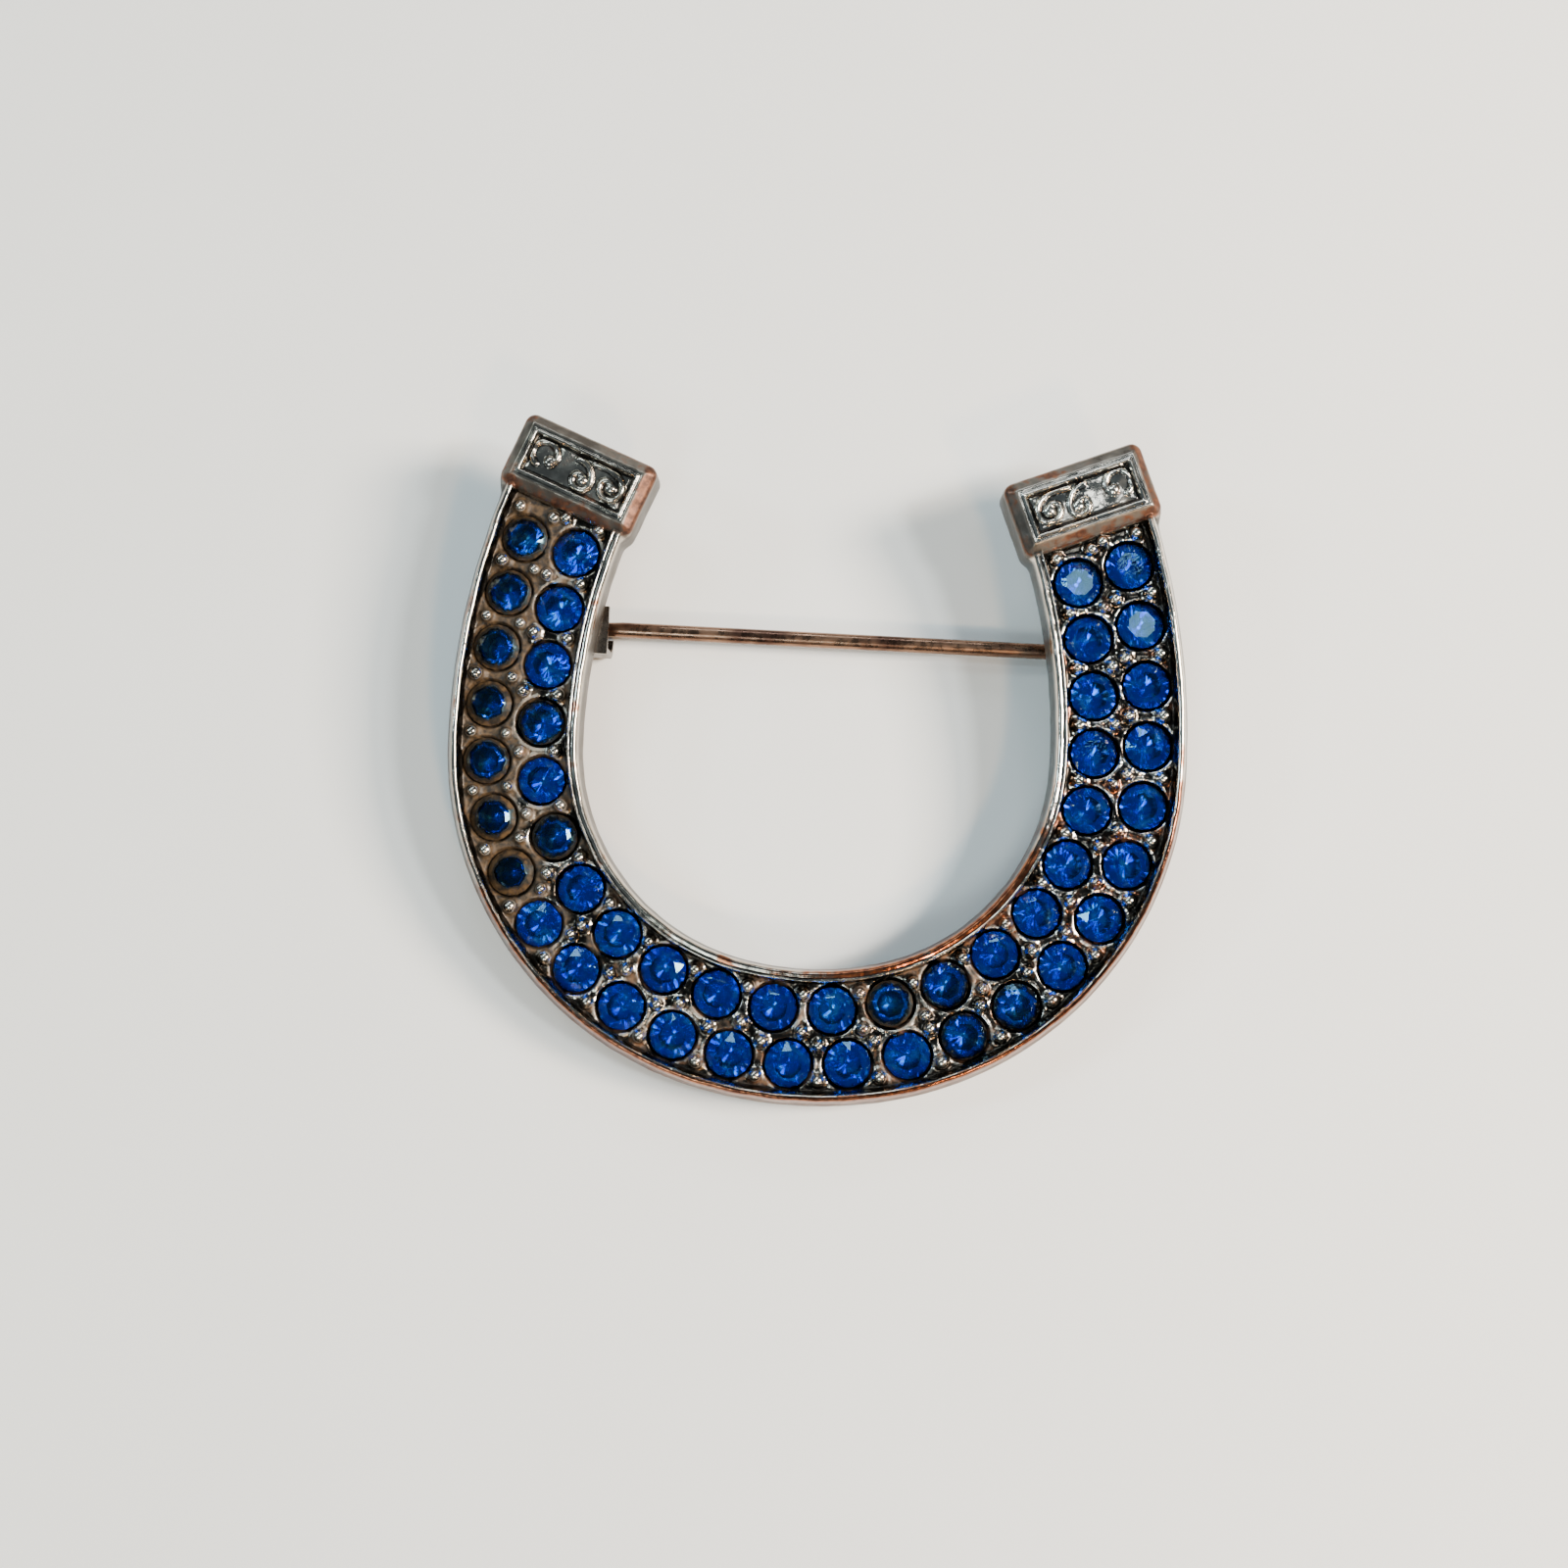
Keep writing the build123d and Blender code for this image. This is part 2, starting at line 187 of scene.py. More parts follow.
def spot(distance, offset):
    """Flat place and angle at a distance from the toe along a line offset from the middle."""
    rest = abs(distance)
    for centre, radius, start, turn, _ in ARCS:
        angle = start + rest / (radius + offset)
        if angle <= start + turn:
            break
        rest -= turn * (radius + offset)
    x, y = centre + outward(angle) * (radius + offset)
    if distance < 0:
        return np.array((-x, y)), -pi / 2 - angle
    return np.array((x, y)), angle - pi / 2


def row_places(row):
    """Distances of one row's stones along the row's own line."""
    full = sum(turn * (radius + row["offset"]) for _, radius, _, turn, _ in ARCS)
    line = full - HEEL_LENGTH * (BRANCH_RADIUS + row["offset"]) / BRANCH_RADIUS
    first = row["left"] - line
    last = line - row["right"]
    gaps = max(round((last - first) / row["pitch"]), 1)
    share = 2 * np.arange(gaps + 1) / gaps - 1
    return (first + last + share * (last - first)) / 2 + row["skew"] * (1 - share**2)


def turned(angle):
    """The matrix of a turn in the flat drawing."""
    return np.array(((cos(angle), -sin(angle)), (sin(angle), cos(angle))))


def bead_places(row, rng):
    """Place and radius of each bead: one by the rim and one by the middle in each gap of a row."""
    stones = row_places(row)
    ends = (2 * stones[0] - stones[1], 2 * stones[-1] - stones[-2])
    line = np.concatenate(((ends[0],), stones, (ends[1],)))
    side = 1 if row["offset"] > 0 else -1
    kinds = rows(
        "across radius",
        (side * RIM_BEAD_OFFSET, RIM_BEAD_RADIUS),
        (-side * MIDDLE_BEAD_OFFSET, MIDDLE_BEAD_RADIUS),
    )
    beads = []
    for distance in (line[1:] + line[:-1]) / 2:
        place, angle = spot(distance, row["offset"])
        for kind in kinds:
            shift = rng.uniform(-BEAD_SHIFT, BEAD_SHIFT, 2)
            bead = place + turned(angle) @ (np.array((kind["across"], 0)) + shift)
            beads.append((bead, kind["radius"] * rng.uniform(BEAD_SMALLEST, BEAD_LARGEST)))
    return beads


rng = np.random.default_rng(BEAD_SEED)
SEATS = np.array([spot(place, row["offset"])[0] for row in ROWS for place in row_places(row)])
BEADS = [bead for row in ROWS for bead in bead_places(row, rng)]

HEEL_MIDDLE, HEEL_ANGLE = spot(LENGTH - HEEL_LENGTH / 2, 0)
HEEL_OUT = outward(HEEL_ANGLE + pi / 2)
HEEL_ALONG = np.array((-HEEL_OUT[1], HEEL_OUT[0]))
HEEL_CENTRE = HEEL_MIDDLE + HEEL_OUT * (HEEL_OUTER_REACH - HEEL_INNER_REACH) / 2
HEEL_HALF = np.array(((HEEL_OUTER_REACH + HEEL_INNER_REACH) / 2, HEEL_LENGTH / 2))
MIRROR = np.array((-1, 1))


def apart(xy, place):
    """Distances of flat places from one place."""
    return np.hypot(*(xy - place).T)


def seat_distance(xy):
    """Distance of flat places from the middle of the nearest seat."""
    return np.min([apart(xy, middle) for middle in SEATS], axis=0)


def heel_coordinates(xy):
    """Across (outward) and along (to the open end) of flat places, from a heel's middle."""
    folded = np.column_stack((np.abs(xy[:, 0]), xy[:, 1])) - HEEL_CENTRE
    return np.column_stack((folded @ HEEL_OUT, folded @ HEEL_ALONG))


def heel_to_flat(local, side):
    """Flat places of heel coordinates, on the right heel for side 1 and the left for -1."""
    places = HEEL_CENTRE + local[:, :1] * HEEL_OUT + local[:, 1:] * HEEL_ALONG
    return places * np.array((side, 1))


def inside_heel(local):
    """How far inside the heel's rounded outline places lie."""
    q = np.abs(local) - (HEEL_HALF - HEEL_CORNER)
    outside = np.hypot(np.maximum(q[:, 0], 0), np.maximum(q[:, 1], 0))
    return HEEL_CORNER - outside - np.minimum(np.maximum(q[:, 0], q[:, 1]), 0)


# Steps of a profile in the length of its blur, and how many such lengths the blur reaches
BLUR_STEPS = 6
BLUR_REACH = 3


def soft_profile(knots, blur):
    """A height profile through a few knots, with its corners rounded over a length."""
    first, last = knots[0][0], knots[-1][0]
    spacing = blur / BLUR_STEPS
    line = np.arange(first, last + spacing, spacing)
    heights = np.interp(line, *zip(*knots))
    reach = BLUR_REACH * BLUR_STEPS
    kernel = np.exp(-0.5 * (np.arange(-reach, reach + 1) / BLUR_STEPS) ** 2)
    padded = np.pad(heights, reach, mode="edge")
    smooth = np.convolve(padded, kernel / kernel.sum(), mode="valid")
    return lambda value: np.interp(value, line, smooth)


# Height over the back against how far outside the middle line a place lies
BAND_PROFILE = soft_profile(
    (
        (-3.75, 1.9), (-3.48, 2.4), (-3.43, 2.53), (-3.35, 2.64), (-3.25, 2.68), (-3.16, 2.65),
        (-3.09, 2.57), (-3.04, 2.57), (-2.95, 2.67), (-2.88, 2.6), (-2.83, 2.2), (-2.77, 2.02),
        (-2.6, 1.97), (0, 1.96), (2.85, 1.97), (2.97, 2.02), (3.03, 2.3), (3.08, 2.53), (3.16, 2.64),
        (3.26, 2.68), (3.37, 2.64), (3.46, 2.51), (3.62, 2.06), (3.84, 1.4), (4.2, 0.9),
    ),
    blur=0.025,
)

# Height over the back against how far inside the heel's outline a place lies
HEEL_FOOT = -0.45
HEEL_PROFILE = soft_profile(
    (
        (HEEL_FOOT, 1.2), (-0.02, 2.24), (0.05, 2.42), (0.14, 2.5), (0.52, 2.77), (0.6, 2.81),
        (0.68, 2.8), (0.77, 2.77), (0.84, 2.88), (0.9, 2.91), (0.96, 2.88), (1.03, 2.69), (1.1, 2.64),
        (1.24, 2.7), (2.2, 2.73),
    ),
    blur=0.028,
)

# Height over the back against the distance from a seat's middle
SEAT_PROFILE = soft_profile(
    (
        (0, 0.78), (0.2, 0.78), (1.3, 1.66), (1.335, 1.72), (1.35, 1.84), (1.39, 1.96), (1.44, 2.03),
        (1.49, 2.04), (1.56, 2.0), (SEAT_REACH, 1.92),
    ),
    blur=0.012,
)

# Share of its radius that a bead rises over the bed, against the distance from its middle
BEAD_PROFILE = soft_profile(
    (
        (0, 1.27), (0.25, 1.24), (0.5, 1.13), (0.7, 0.95), (0.85, 0.72), (0.95, 0.5), (1.02, 0.28),
        (1.1, 0.12), (1.25, 0.04), (BEAD_REACH, 0),
    ),
    blur=0.04,
)

# Scrolls of a heel's panel, which start in a round eye: across, along and the radius of each arc
# are shares of the panel's half sizes, heading and turn are in degrees
OPEN_SCROLL = rows("radius turn", (0.26, -90), (0.66, -250))
SMALL_SCROLL = rows("radius turn", (0.26, -180), (0.47, -180), (0.95, -95))
LARGE_SCROLL = rows("radius turn", (0.28, -180), (0.58, -180), (0.74, -65), (2.2, -38))
SCROLLS = rows(
    "across along heading arcs",
    (0.56, -0.08, 180, OPEN_SCROLL),
    (-0.14, -0.28, 90, SMALL_SCROLL),
    (-0.68, -0.05, 90, LARGE_SCROLL),
)
SCROLL_STEP = 8
SCROLL_WIRE = 0.155
SCROLL_LIFT = 0.15
EYE_RADIUS = 0.34
EYE_LIFT = 0.2
EYE_BULGE = 0.7


def scroll_line(row):
    """Points along one scroll, in heel coordinates."""
    half = HEEL_HALF - FRAME_MARGIN - FRAME_WIDTH
    point = np.array((row["across"], row["along"])) * half
    heading = radians(row["heading"])
    points = [point]
    for arc in row["arcs"]:
        radius = arc["radius"] * half[1]
        side = 1 if arc["turn"] > 0 else -1
        centre = point + np.array((-sin(heading), cos(heading))) * side * radius
        steps = max(int(abs(arc["turn"]) / SCROLL_STEP), 2)
        for number in range(1, steps + 1):
            part = radians(arc["turn"]) * number / steps
            points.append(centre + turned(part) @ (point - centre))
        point = points[-1]
        heading += radians(arc["turn"])
    return np.array(points)


def scroll_height(local):
    """How far the scrolls rise over the panel at heel coordinates."""
    height = np.zeros(len(local))
    for row in SCROLLS:
        line = scroll_line(row)
        best = np.full(len(local), np.inf)
        for a, b in zip(line, line[1:]):
            along = np.clip(((local - a) @ (b - a)) / ((b - a) @ (b - a)), 0, 1)
            best = np.minimum(best, np.hypot(*(local - a - along[:, None] * (b - a)).T))
        wire = SCROLL_LIFT * np.sqrt(np.clip(1 - (best / SCROLL_WIRE) ** 2, 0, 1))
        from_eye = apart(local, line[0])
        dome = EYE_LIFT * np.clip(1 - (from_eye / EYE_RADIUS) ** 2, 0, 1) ** EYE_BULGE
        height = np.maximum(height, np.maximum(wire, dome))
    return height


def smooth_max(a, b, blend):
    """The larger of two heights, with the crease between them filled over a blend."""
    h = np.clip(0.5 + 0.5 * (a - b) / blend, 0, 1)
    return b + (a - b) * h + blend * h * (1 - h)


def step(value, low, high):
    """0 at low and before it, 1 at high and past it, and a smooth rise between them."""
    t = np.clip((value - low) / (high - low), 0, 1)
    return t * t * (3 - 2 * t)


# Where changes across the band begin and end, either side of a line outside the middle line
ACROSS = named(
    "line begin end",
    rims=(-0.1, 2.5, 2.9),
    whole=(0.2, 3.9, 3.5),
    bed=(-0.05, 3.1, 2.9),
    outer_slope=(3.05, 0.12, 0.05),
    inner_slope=(-2.83, 0.07, 0.02),
)

# Where other changes begin and end: out and in from the middle line, high over the back, and
# heel inside a heel's outline
FADES = named(
    "begin end",
    out_rim=(3.12, 3.25), in_rim=(3.0, 3.1), out_row=(-0.6, 0.9),
    high_crest=(2.3, 2.6), high_block=(2.0, 2.3), high_wall=(2.3, 1.9), high_grime=(2.5, 2.2),
    high_bed=(2.07, 1.98),
    heel_all=(-0.15, 0.05), heel_edge=(0.18, 0.05), heel_bevel=(0.66, 0.4), heel_slope=(0.7, 0.5),
    heel_panel=(1.1, 1.2), heel_over=(0.05, 0.35), heel_corner=(0.9, 0.3),
    heel_open=(-0.3, 0.3),
    scroll_field=(0.08, 0.0), seat_gap=(1.46, 1.39),
)


def across(name, o):
    """How far a change across the band has come at distances outside the middle line."""
    row = ACROSS[name]
    return step(np.abs(o - row["line"]), row["begin"], row["end"])


def fade(name, value):
    """How far a change has come where its measure has a value."""
    return step(value, FADES[name]["begin"], FADES[name]["end"])


# Unevenness of the casting: about the size of its features, and its own seed
WOBBLES = named("size seed", slow=(1.6, 1.5), quick=(0.45, 4.5), rims=(1.1, 8.5), heels=(0.65, 6.5))

# How far the slow and the quick unevenness lift each part of the face
UNEVEN = named("slow quick", band=(0.022, 0.012), collar=(0.1, 0.08), heel=(0.02, 0.004))
COLLAR_SINK = 0.025
RIM_SWAY = 0.035
HEEL_SWAY = 0.012
HEEL_ROUGH = 0.025
PANEL_ROUGH = 0.035

# How the band goes down under a heel's block
BAND_SINK = 0.8
SINK_BEGIN = 0.1
SINK_END = 0.6
HEEL_BLEND = 0.05


def wobble(xy, name):
    """Smooth noise from -1 to 1 over flat places."""
    size, seed = WOBBLES[name].values()
    return np.array([noise.noise((x / size, y / size, seed)) for x, y in xy])


def heights(xy):
    """Height of the setting's face over its back at flat places."""
    o = flat_to_band(xy)[1]
    slow = wobble(xy, "slow")
    quick = wobble(xy, "quick")
    lift = {part: row["slow"] * slow + row["quick"] * quick for part, row in UNEVEN.items()}
    height = BAND_PROFILE(o + RIM_SWAY * wobble(xy, "rims") * across("rims", o))
    height += lift["band"] * across("whole", o)
    for middle in SEATS:
        d = apart(xy, middle)
        near = d < SEAT_REACH
        seat = SEAT_PROFILE(d[near])
        cut = np.clip((d[near] - COLLAR_START) / COLLAR_BLEND, 0, 1)
        collar = np.maximum(height[near], seat + (lift["collar"][near] - COLLAR_SINK))
        height[near] = seat + (collar - seat) * cut
    for middle, radius in BEADS:
        d = apart(xy, middle) / radius
        near = d < BEAD_REACH
        dome = BED_HEIGHT - BEAD_SINK + radius * BEAD_PROFILE(d[near])
        open_metal = seat_distance(xy[near]) > BEAD_LIMIT
        height[near] = np.where(open_metal, np.maximum(height[near], dome), height[near])
    inside = inside_heel(heel_coordinates(xy))
    at_heel = inside > HEEL_FOOT
    local = heel_coordinates(xy[at_heel])
    inside = inside[at_heel]
    block = HEEL_PROFILE(inside + HEEL_SWAY * quick[at_heel])
    block += lift["heel"][at_heel]
    on_panel = fade("heel_panel", inside)
    block += scroll_height(local) * on_panel
    block += wobble(xy[at_heel], "heels") * (HEEL_ROUGH + PANEL_ROUGH * on_panel)
    past_band = step(local[:, 1], SINK_BEGIN - HEEL_HALF[1], SINK_END - HEEL_HALF[1])
    band = height[at_heel] - BAND_SINK * np.maximum(fade("heel_over", inside), past_band)
    height[at_heel] = smooth_max(block, band, HEEL_BLEND)
    return height


# The outline: its points along the band and on a heel's corners, sides and end, how far before a
# heel the band's lines stop, how far on the heel's sides start, and the curve that joins them
OUTLINE_SPACING = 0.14
CORNER_POINTS = 8
SIDE_POINTS = 26
END_POINTS = 50
BAND_STOP = 0.8
SIDE_START = 0.5
JOIN_WAY = 1.5
JOIN_POINTS = 10


def join(before, after):
    """Points of a smooth curve from the end of one line to the start of another."""
    start = before[-1]
    end = after[0]
    lines = (before[-2:], after[:2])
    start_way, end_way = [(b - a) / np.hypot(*(b - a)) * JOIN_WAY for a, b in lines]
    t = np.linspace(0, 1, JOIN_POINTS + 2)[1:-1, None]
    return (
        (2 * t**3 - 3 * t**2 + 1) * start
        + (t**3 - 2 * t**2 + t) * start_way
        + (-2 * t**3 + 3 * t**2) * end
        + (t**3 - t**2) * end_way
    )


def outline():
    """The closed outline of the setting, seen from above, anticlockwise from the toe."""
    stop = LENGTH - HEEL_LENGTH - BAND_STOP
    count = int(2 * stop / OUTLINE_SPACING)
    s = np.linspace(-stop, stop, count)
    outer = band_to_flat(s, OUTER_REACH)
    inner = band_to_flat(s[::-1], -INNER_REACH)
    corner = HEEL_HALF - HEEL_CORNER
    turn = np.linspace(0, pi / 2, CORNER_POINTS)
    arc = corner + HEEL_CORNER * np.column_stack((np.cos(turn), np.sin(turn)))
    along = np.linspace(SIDE_START - HEEL_HALF[1], corner[1], SIDE_POINTS + 1)[:-1]
    outer_side = np.column_stack((np.full(SIDE_POINTS, HEEL_HALF[0]), along))
    end_corner = np.array((corner[0], HEEL_HALF[1]))
    end_side = np.linspace(end_corner, end_corner * MIRROR, END_POINTS + 2)[1:-1]
    block = np.concatenate((outer_side, arc, end_side, arc[::-1] * MIRROR, outer_side[::-1] * MIRROR))
    right = heel_to_flat(block, 1)
    lines = (outer, right, inner, right[::-1] * MIRROR)
    pairs = [(line, join(line, after)) for line, after in zip(lines, lines[1:] + lines[:1])]
    return np.concatenate([part for pair in pairs for part in pair])


def circle(middle, radius, count, turn=0.0):
    """Evenly spaced points of a circle."""
    angle = np.linspace(0, 2 * pi, count, endpoint=False) + turn
    return middle + radius * np.column_stack((np.cos(angle), np.sin(angle)))


# Where the face's vertices lie: lines along the rims, by how far they are outside the middle line
INNER_RIM_LINES = (
    -3.42, -3.38, -3.33, -3.27, -3.18, -3.08, -3.0, -2.95, -2.9, -2.865, -2.83, -2.79, -2.74,
)
OUTER_RIM_LINES = (
    2.93, 2.99, 3.03, 3.07, 3.11, 3.16, 3.22, 3.3, 3.37, 3.42, 3.48, 3.55, 3.64, 3.74, 3.81,
)
LINE_SPACING = 0.15

# Circles round the seats, the few vertices inside a seat, and rings over the beads
SEAT_CIRCLES = (1.335, 1.355, 1.39, 1.435, 1.3)
COLLAR_CIRCLES = (1.48, 1.53, 1.6)
CIRCLE_POINTS = 52
SEAT_FLOOR = rows("radius points", (0.75, 12), (0.2, 6))
SEAT_INSIDE = 1.29
BEAD_RINGS = rows(
    "share points",
    (0.03, 1), (0.3, 6), (0.55, 10), (0.74, 14), (0.87, 16), (0.96, 18), (1.03, 18), (1.12, 18),
)
RING_TURN = 5

# Grids over the heels and the bed, and the least distance between two vertices
HEEL_SPACING = 0.055
HEEL_OVERLAP = 0.4
BED_SPACING = 0.14
BED_START = -2.7
BED_END = 2.95
NEAREST = 0.03


def thin(points, spacing):
    """Points in order of importance, without those nearer than a spacing to one before."""
    kept = []
    cells = {}
    for point in points:
        column, row = int(point[0] // spacing), int(point[1] // spacing)
        around = [(column + i, row + j) for i in (-1, 0, 1) for j in (-1, 0, 1)]
        beside = [other for cell in around for other in cells.get(cell, ())]
        if all((p[0] - point[0]) ** 2 + (p[1] - point[1]) ** 2 >= spacing**2 for p in beside):
            kept.append(point)
            cells.setdefault((column, row), []).append(point)
    return np.array(kept)


def circles(middle, radii):
    """Circles round a seat, each turned half a point's spacing further than the one before."""
    count = CIRCLE_POINTS
    return [circle(middle, radius, count, k * pi / count) for k, radius in enumerate(radii)]


def face_points(edge):
    """Flat places of the face's vertices, close together where the form turns."""
    groups = [edge]
    stop = LENGTH - HEEL_LENGTH
    s = np.arange(-stop, stop, LINE_SPACING)
    for o in INNER_RIM_LINES + OUTER_RIM_LINES:
        groups.append(band_to_flat(s, o))
    for middle in SEATS:
        groups += circles(middle, SEAT_CIRCLES)
        for row in SEAT_FLOOR:
            groups.append(circle(middle, row["radius"], row["points"]))
    for middle, radius in BEADS:
        for row in BEAD_RINGS:
            share = row["share"]
            groups.append(circle(middle, radius * share, row["points"], share * RING_TURN))
    for middle in SEATS:
        groups += circles(middle, COLLAR_CIRCLES)
    for side in (-1, 1):
        x = np.arange(-HEEL_HALF[0], HEEL_HALF[0], HEEL_SPACING)
        y = np.arange(-HEEL_HALF[1] - HEEL_OVERLAP, HEEL_HALF[1], HEEL_SPACING)
        grid = np.stack(np.meshgrid(x, y), -1).reshape(-1, 2)
        groups.append(heel_to_flat(grid, side))
    s, o = np.meshgrid(np.arange(-stop, stop, BED_SPACING), np.arange(BED_START, BED_END, BED_SPACING))
    groups.append(band_to_flat(s.ravel(), o.ravel()))
    points = np.concatenate(groups)
    from_seat = seat_distance(points)
    too_many = from_seat < SEAT_INSIDE
    for row in SEAT_FLOOR:
        too_many &= ~np.isclose(from_seat, row["radius"])
    return thin(points[~too_many], NEAREST)


# How far inside the outline vertices lie, and how far before the heel's end the band ends
EDGE_CLEAR = 0.012
BAND_SHORT = 1

# Triangulation: only what is inside the edge is kept, and what counts as one point
KEEP_INSIDE = 1
SAME_POINT = 1e-7


def inside_outline(points):
    """Which places lie inside the outline, a little clear of it."""
    s, o = flat_to_band(points)
    across_band = (o > -INNER_REACH + EDGE_CLEAR) & (o < OUTER_REACH - EDGE_CLEAR)
    in_band = across_band & (np.abs(s) < LENGTH - BAND_SHORT)
    return in_band | (inside_heel(heel_coordinates(points)) > EDGE_CLEAR)


def fill(edge, points):
    """Vertices and triangles inside a closed edge, and the numbers that each vertex came from."""
    inner = points[inside_outline(points)]
    flat = [Vector(p) for p in np.concatenate((edge, inner))]
    edges = [(i, (i + 1) % len(edge)) for i in range(len(edge))]
    places, _, faces, origins, _, _ = delaunay_2d_cdt(flat, edges, [], KEEP_INSIDE, SAME_POINT)
    return np.array([tuple(p) for p in places]), faces, origins


def lay():
    """The matrix that lays the flat drawing on its three rests, in metres."""
    joint = frame["joints"][0]
    tilt = atan2(-joint["axis"][2], -joint["axis"][1])
    return (
        Matrix.Translation(Vector(joint["pos_m"]))
        @ Matrix.Rotation(tilt, 4, "X")
        @ Matrix.Scale(MM, 4)
        @ Matrix.Translation(-Vector(HINGE_PLACE))
    )


LAY = lay()


def laid(points):
    """Flat millimetre points in the row frame, in metres."""
    m = np.array(LAY)
    return points @ m[:3, :3].T + m[:3, 3]


def link(name, data):
    """A new object in the scene."""
    made = bpy.data.objects.new(name, data)
    bpy.context.scene.collection.objects.link(made)
    return made


def mesh_object(name, points, faces):
    """A piece with its points given in flat millimetres."""
    mesh = bpy.data.meshes.new(name)
    mesh.from_pydata([tuple(p) for p in laid(points)], [], faces)
    mesh.validate()
    mesh.update()
    return link(name, mesh)


def add_shade(piece, name, values):
    """A number for each vertex of a piece, which its material reads."""
    layer = piece.data.attributes.new(name, "FLOAT", "POINT")
    layer.data.foreach_set("value", np.asarray(values, np.float32))


# Walls, from under the rims down to the back: share of the height, and bulge out of the outline
WALL_LEVELS = rows(
    "share bulge",
    (0.94, 0.012), (0.8, 0.022), (0.6, 0.02), (0.4, 0.02), (0.2, 0.015), (0.06, 0.0), (0.015, -0.05),
    (0, -0.13),
)
WALL_WAVE = 0.02
WALL_WAVE_SIZE = 0.8
WALL_WAVE_ABOVE = 0.05

# The few vertices inside the back, as distances outside the middle line
BACK_SPACING = 0.5
BACK_START = -3.1
BACK_END = 3.6
BACK_CLEAR = 0.2


def wall_levels(edge, upper):
    """Points of the wavy, hand-finished walls' levels, from under the rims down to the back."""
    ways = np.roll(edge, -1, 0) - np.roll(edge, 1, 0)
    outside = np.column_stack((ways[:, 1], -ways[:, 0])) / np.hypot(*ways.T)[:, None]
    levels = []
    for row in WALL_LEVELS:
        z = upper * row["share"]
        places = np.column_stack((edge, z)) / WALL_WAVE_SIZE
        wave = WALL_WAVE * np.array([noise.noise(place) for place in places])
        out = row["bulge"] + wave * (row["share"] > WALL_WAVE_ABOVE)
        levels.append(np.column_stack((edge + outside * out[:, None], z)))
    return levels


def back_grid(edge):
    """Flat places over the back, clear of its edge."""
    o = np.arange(BACK_START, BACK_END, BACK_SPACING)
    s, o = np.meshgrid(np.arange(-LENGTH, LENGTH, BACK_SPACING), o)
    grid = band_to_flat(s.ravel(), o.ravel())
    return grid[np.min([apart(grid, p) for p in edge], axis=0) > BACK_CLEAR]


def build_setting():
    """The cast body: face, walls and back in one closed mesh."""
    edge = outline()
    count = len(edge)
    flat, faces, origins = fill(edge, face_points(edge))
    top = np.column_stack((flat, heights(flat)))
    rim = {source: index for index, sources in enumerate(origins) for source in sources}
    before = [rim[i] for i in range(count)]
    points = [top]
    total = len(top)
    for level in wall_levels(edge, top[before, 2]):
        points.append(level)
        after = list(range(total, total + count))
        total += count
        for i in range(count):
            j = (i + 1) % count
            faces.append((before[i], after[i], after[j], before[j]))
        before = after
    back_edge = points[-1][:, :2]
    back, back_faces, back_origins = fill(back_edge, back_grid(back_edge))
    index = []
    extra = []
    for place, sources in zip(back, back_origins):
        at_edge = [source for source in sources if source < count]
        if at_edge:
            index.append(before[at_edge[0]])
        else:
            index.append(total + len(extra))
            extra.append((*place, 0.0))
    points.append(np.array(extra))
    faces += [tuple(index[k] for k in reversed(face)) for face in back_faces]
    points = np.concatenate(points)
    piece = mesh_object("setting_cast", points, faces)
    piece.data.polygons.foreach_set("use_smooth", np.ones(len(piece.data.polygons), bool))
    shade_setting(piece, points)
    return piece


# Amounts from 0 to 1 at distances along the middle line, from the left heel to the right
OUTER_COPPER = (
    (-42, 0.5), (-38, 0.4), (-30, 0.4), (-20, 0.45), (-12, 0.9), (0, 1.1), (12, 1.2), (22, 1.1),
    (26, 0.35), (37, 0.15), (40, 0.7), (42, 0.8),
)
INNER_COPPER = (
    (-42, 0.6), (-37, 0.35), (-33, 0.4), (-27, 0.35), (-16, 0.3), (-8, 0.4), (0, 0.65), (14, 0.65),
    (22, 0.45), (26, 0.15), (37, 0.15), (40, 0.5), (42, 0.7),
)
INNER_WALL_COPPER = ((-42, 0), (-14, 0), (-4, 0.5), (4, 1.3), (20, 1.5), (25, 0.6), (30, 0.1), (42, 0))
BED_COPPER = ((-42, 0.25), (-38, 0.3), (-20, 0.22), (0, 0.3), (20, 0.36), (36, 0.25), (42, 0.15))
OUTER_GRIME = (
    (-42, 0.1), (-39, 0.6), (-36, 0.9), (-30, 0.95), (-24, 0.95), (-17, 0.85), (-14, 0.45),
    (-8, 0.35), (0, 0.3), (8, 0.35), (20, 0.1), (42, 0.0),
)
INNER_GRIME = (
    (-42, 0.1), (-38, 0.4), (-33, 0.5), (-24, 0.45), (-18, 0.45), (-10, 0.35), (0, 0.35), (8, 0.4),
    (16, 0.2), (24, 0.05), (42, 0.0),
)
# Smoother finish and painted sheen, which lightens the metal towards the right heel
SMOOTH_AND_SHEEN = ((-42, 0.25), (-36, 0.4), (-20, 0.35), (0, 0.35), (14, 0.5), (26, 1.0), (42, 1.0))

# The left and the right heel: copper on their four sides and the panel, and how dark the painted shade is
# on the panel's ground round its scrolls
SIDES = ("outer", "inner", "end", "band")
HEELS = rows(
    "outer inner end band panel ground",
    (0.3, 0.8, 0.4, 0.75, 0.3, 0.45),
    (0.75, 0.6, 0.45, 0.5, 0.12, 0.62),
)

# Copper of the heels: how soon a side gives way to the next, and more on corners and the edge
SIDE_BLEND = 0.15
TINY = 1e-9
CORNER_COPPER = 0.35
EDGE_COPPER = 0.7

# The heels' slopes: how dull and how darkened with painted shade they are, how much more so inside and from
# where, and how much less smoothness and painted sheen they get
SLOPE_WALL = 0.68
INNER_SLOPE_WALL = 0.24
INNER_SLOPE = 0.6
SLOPE_DULL = 0.75
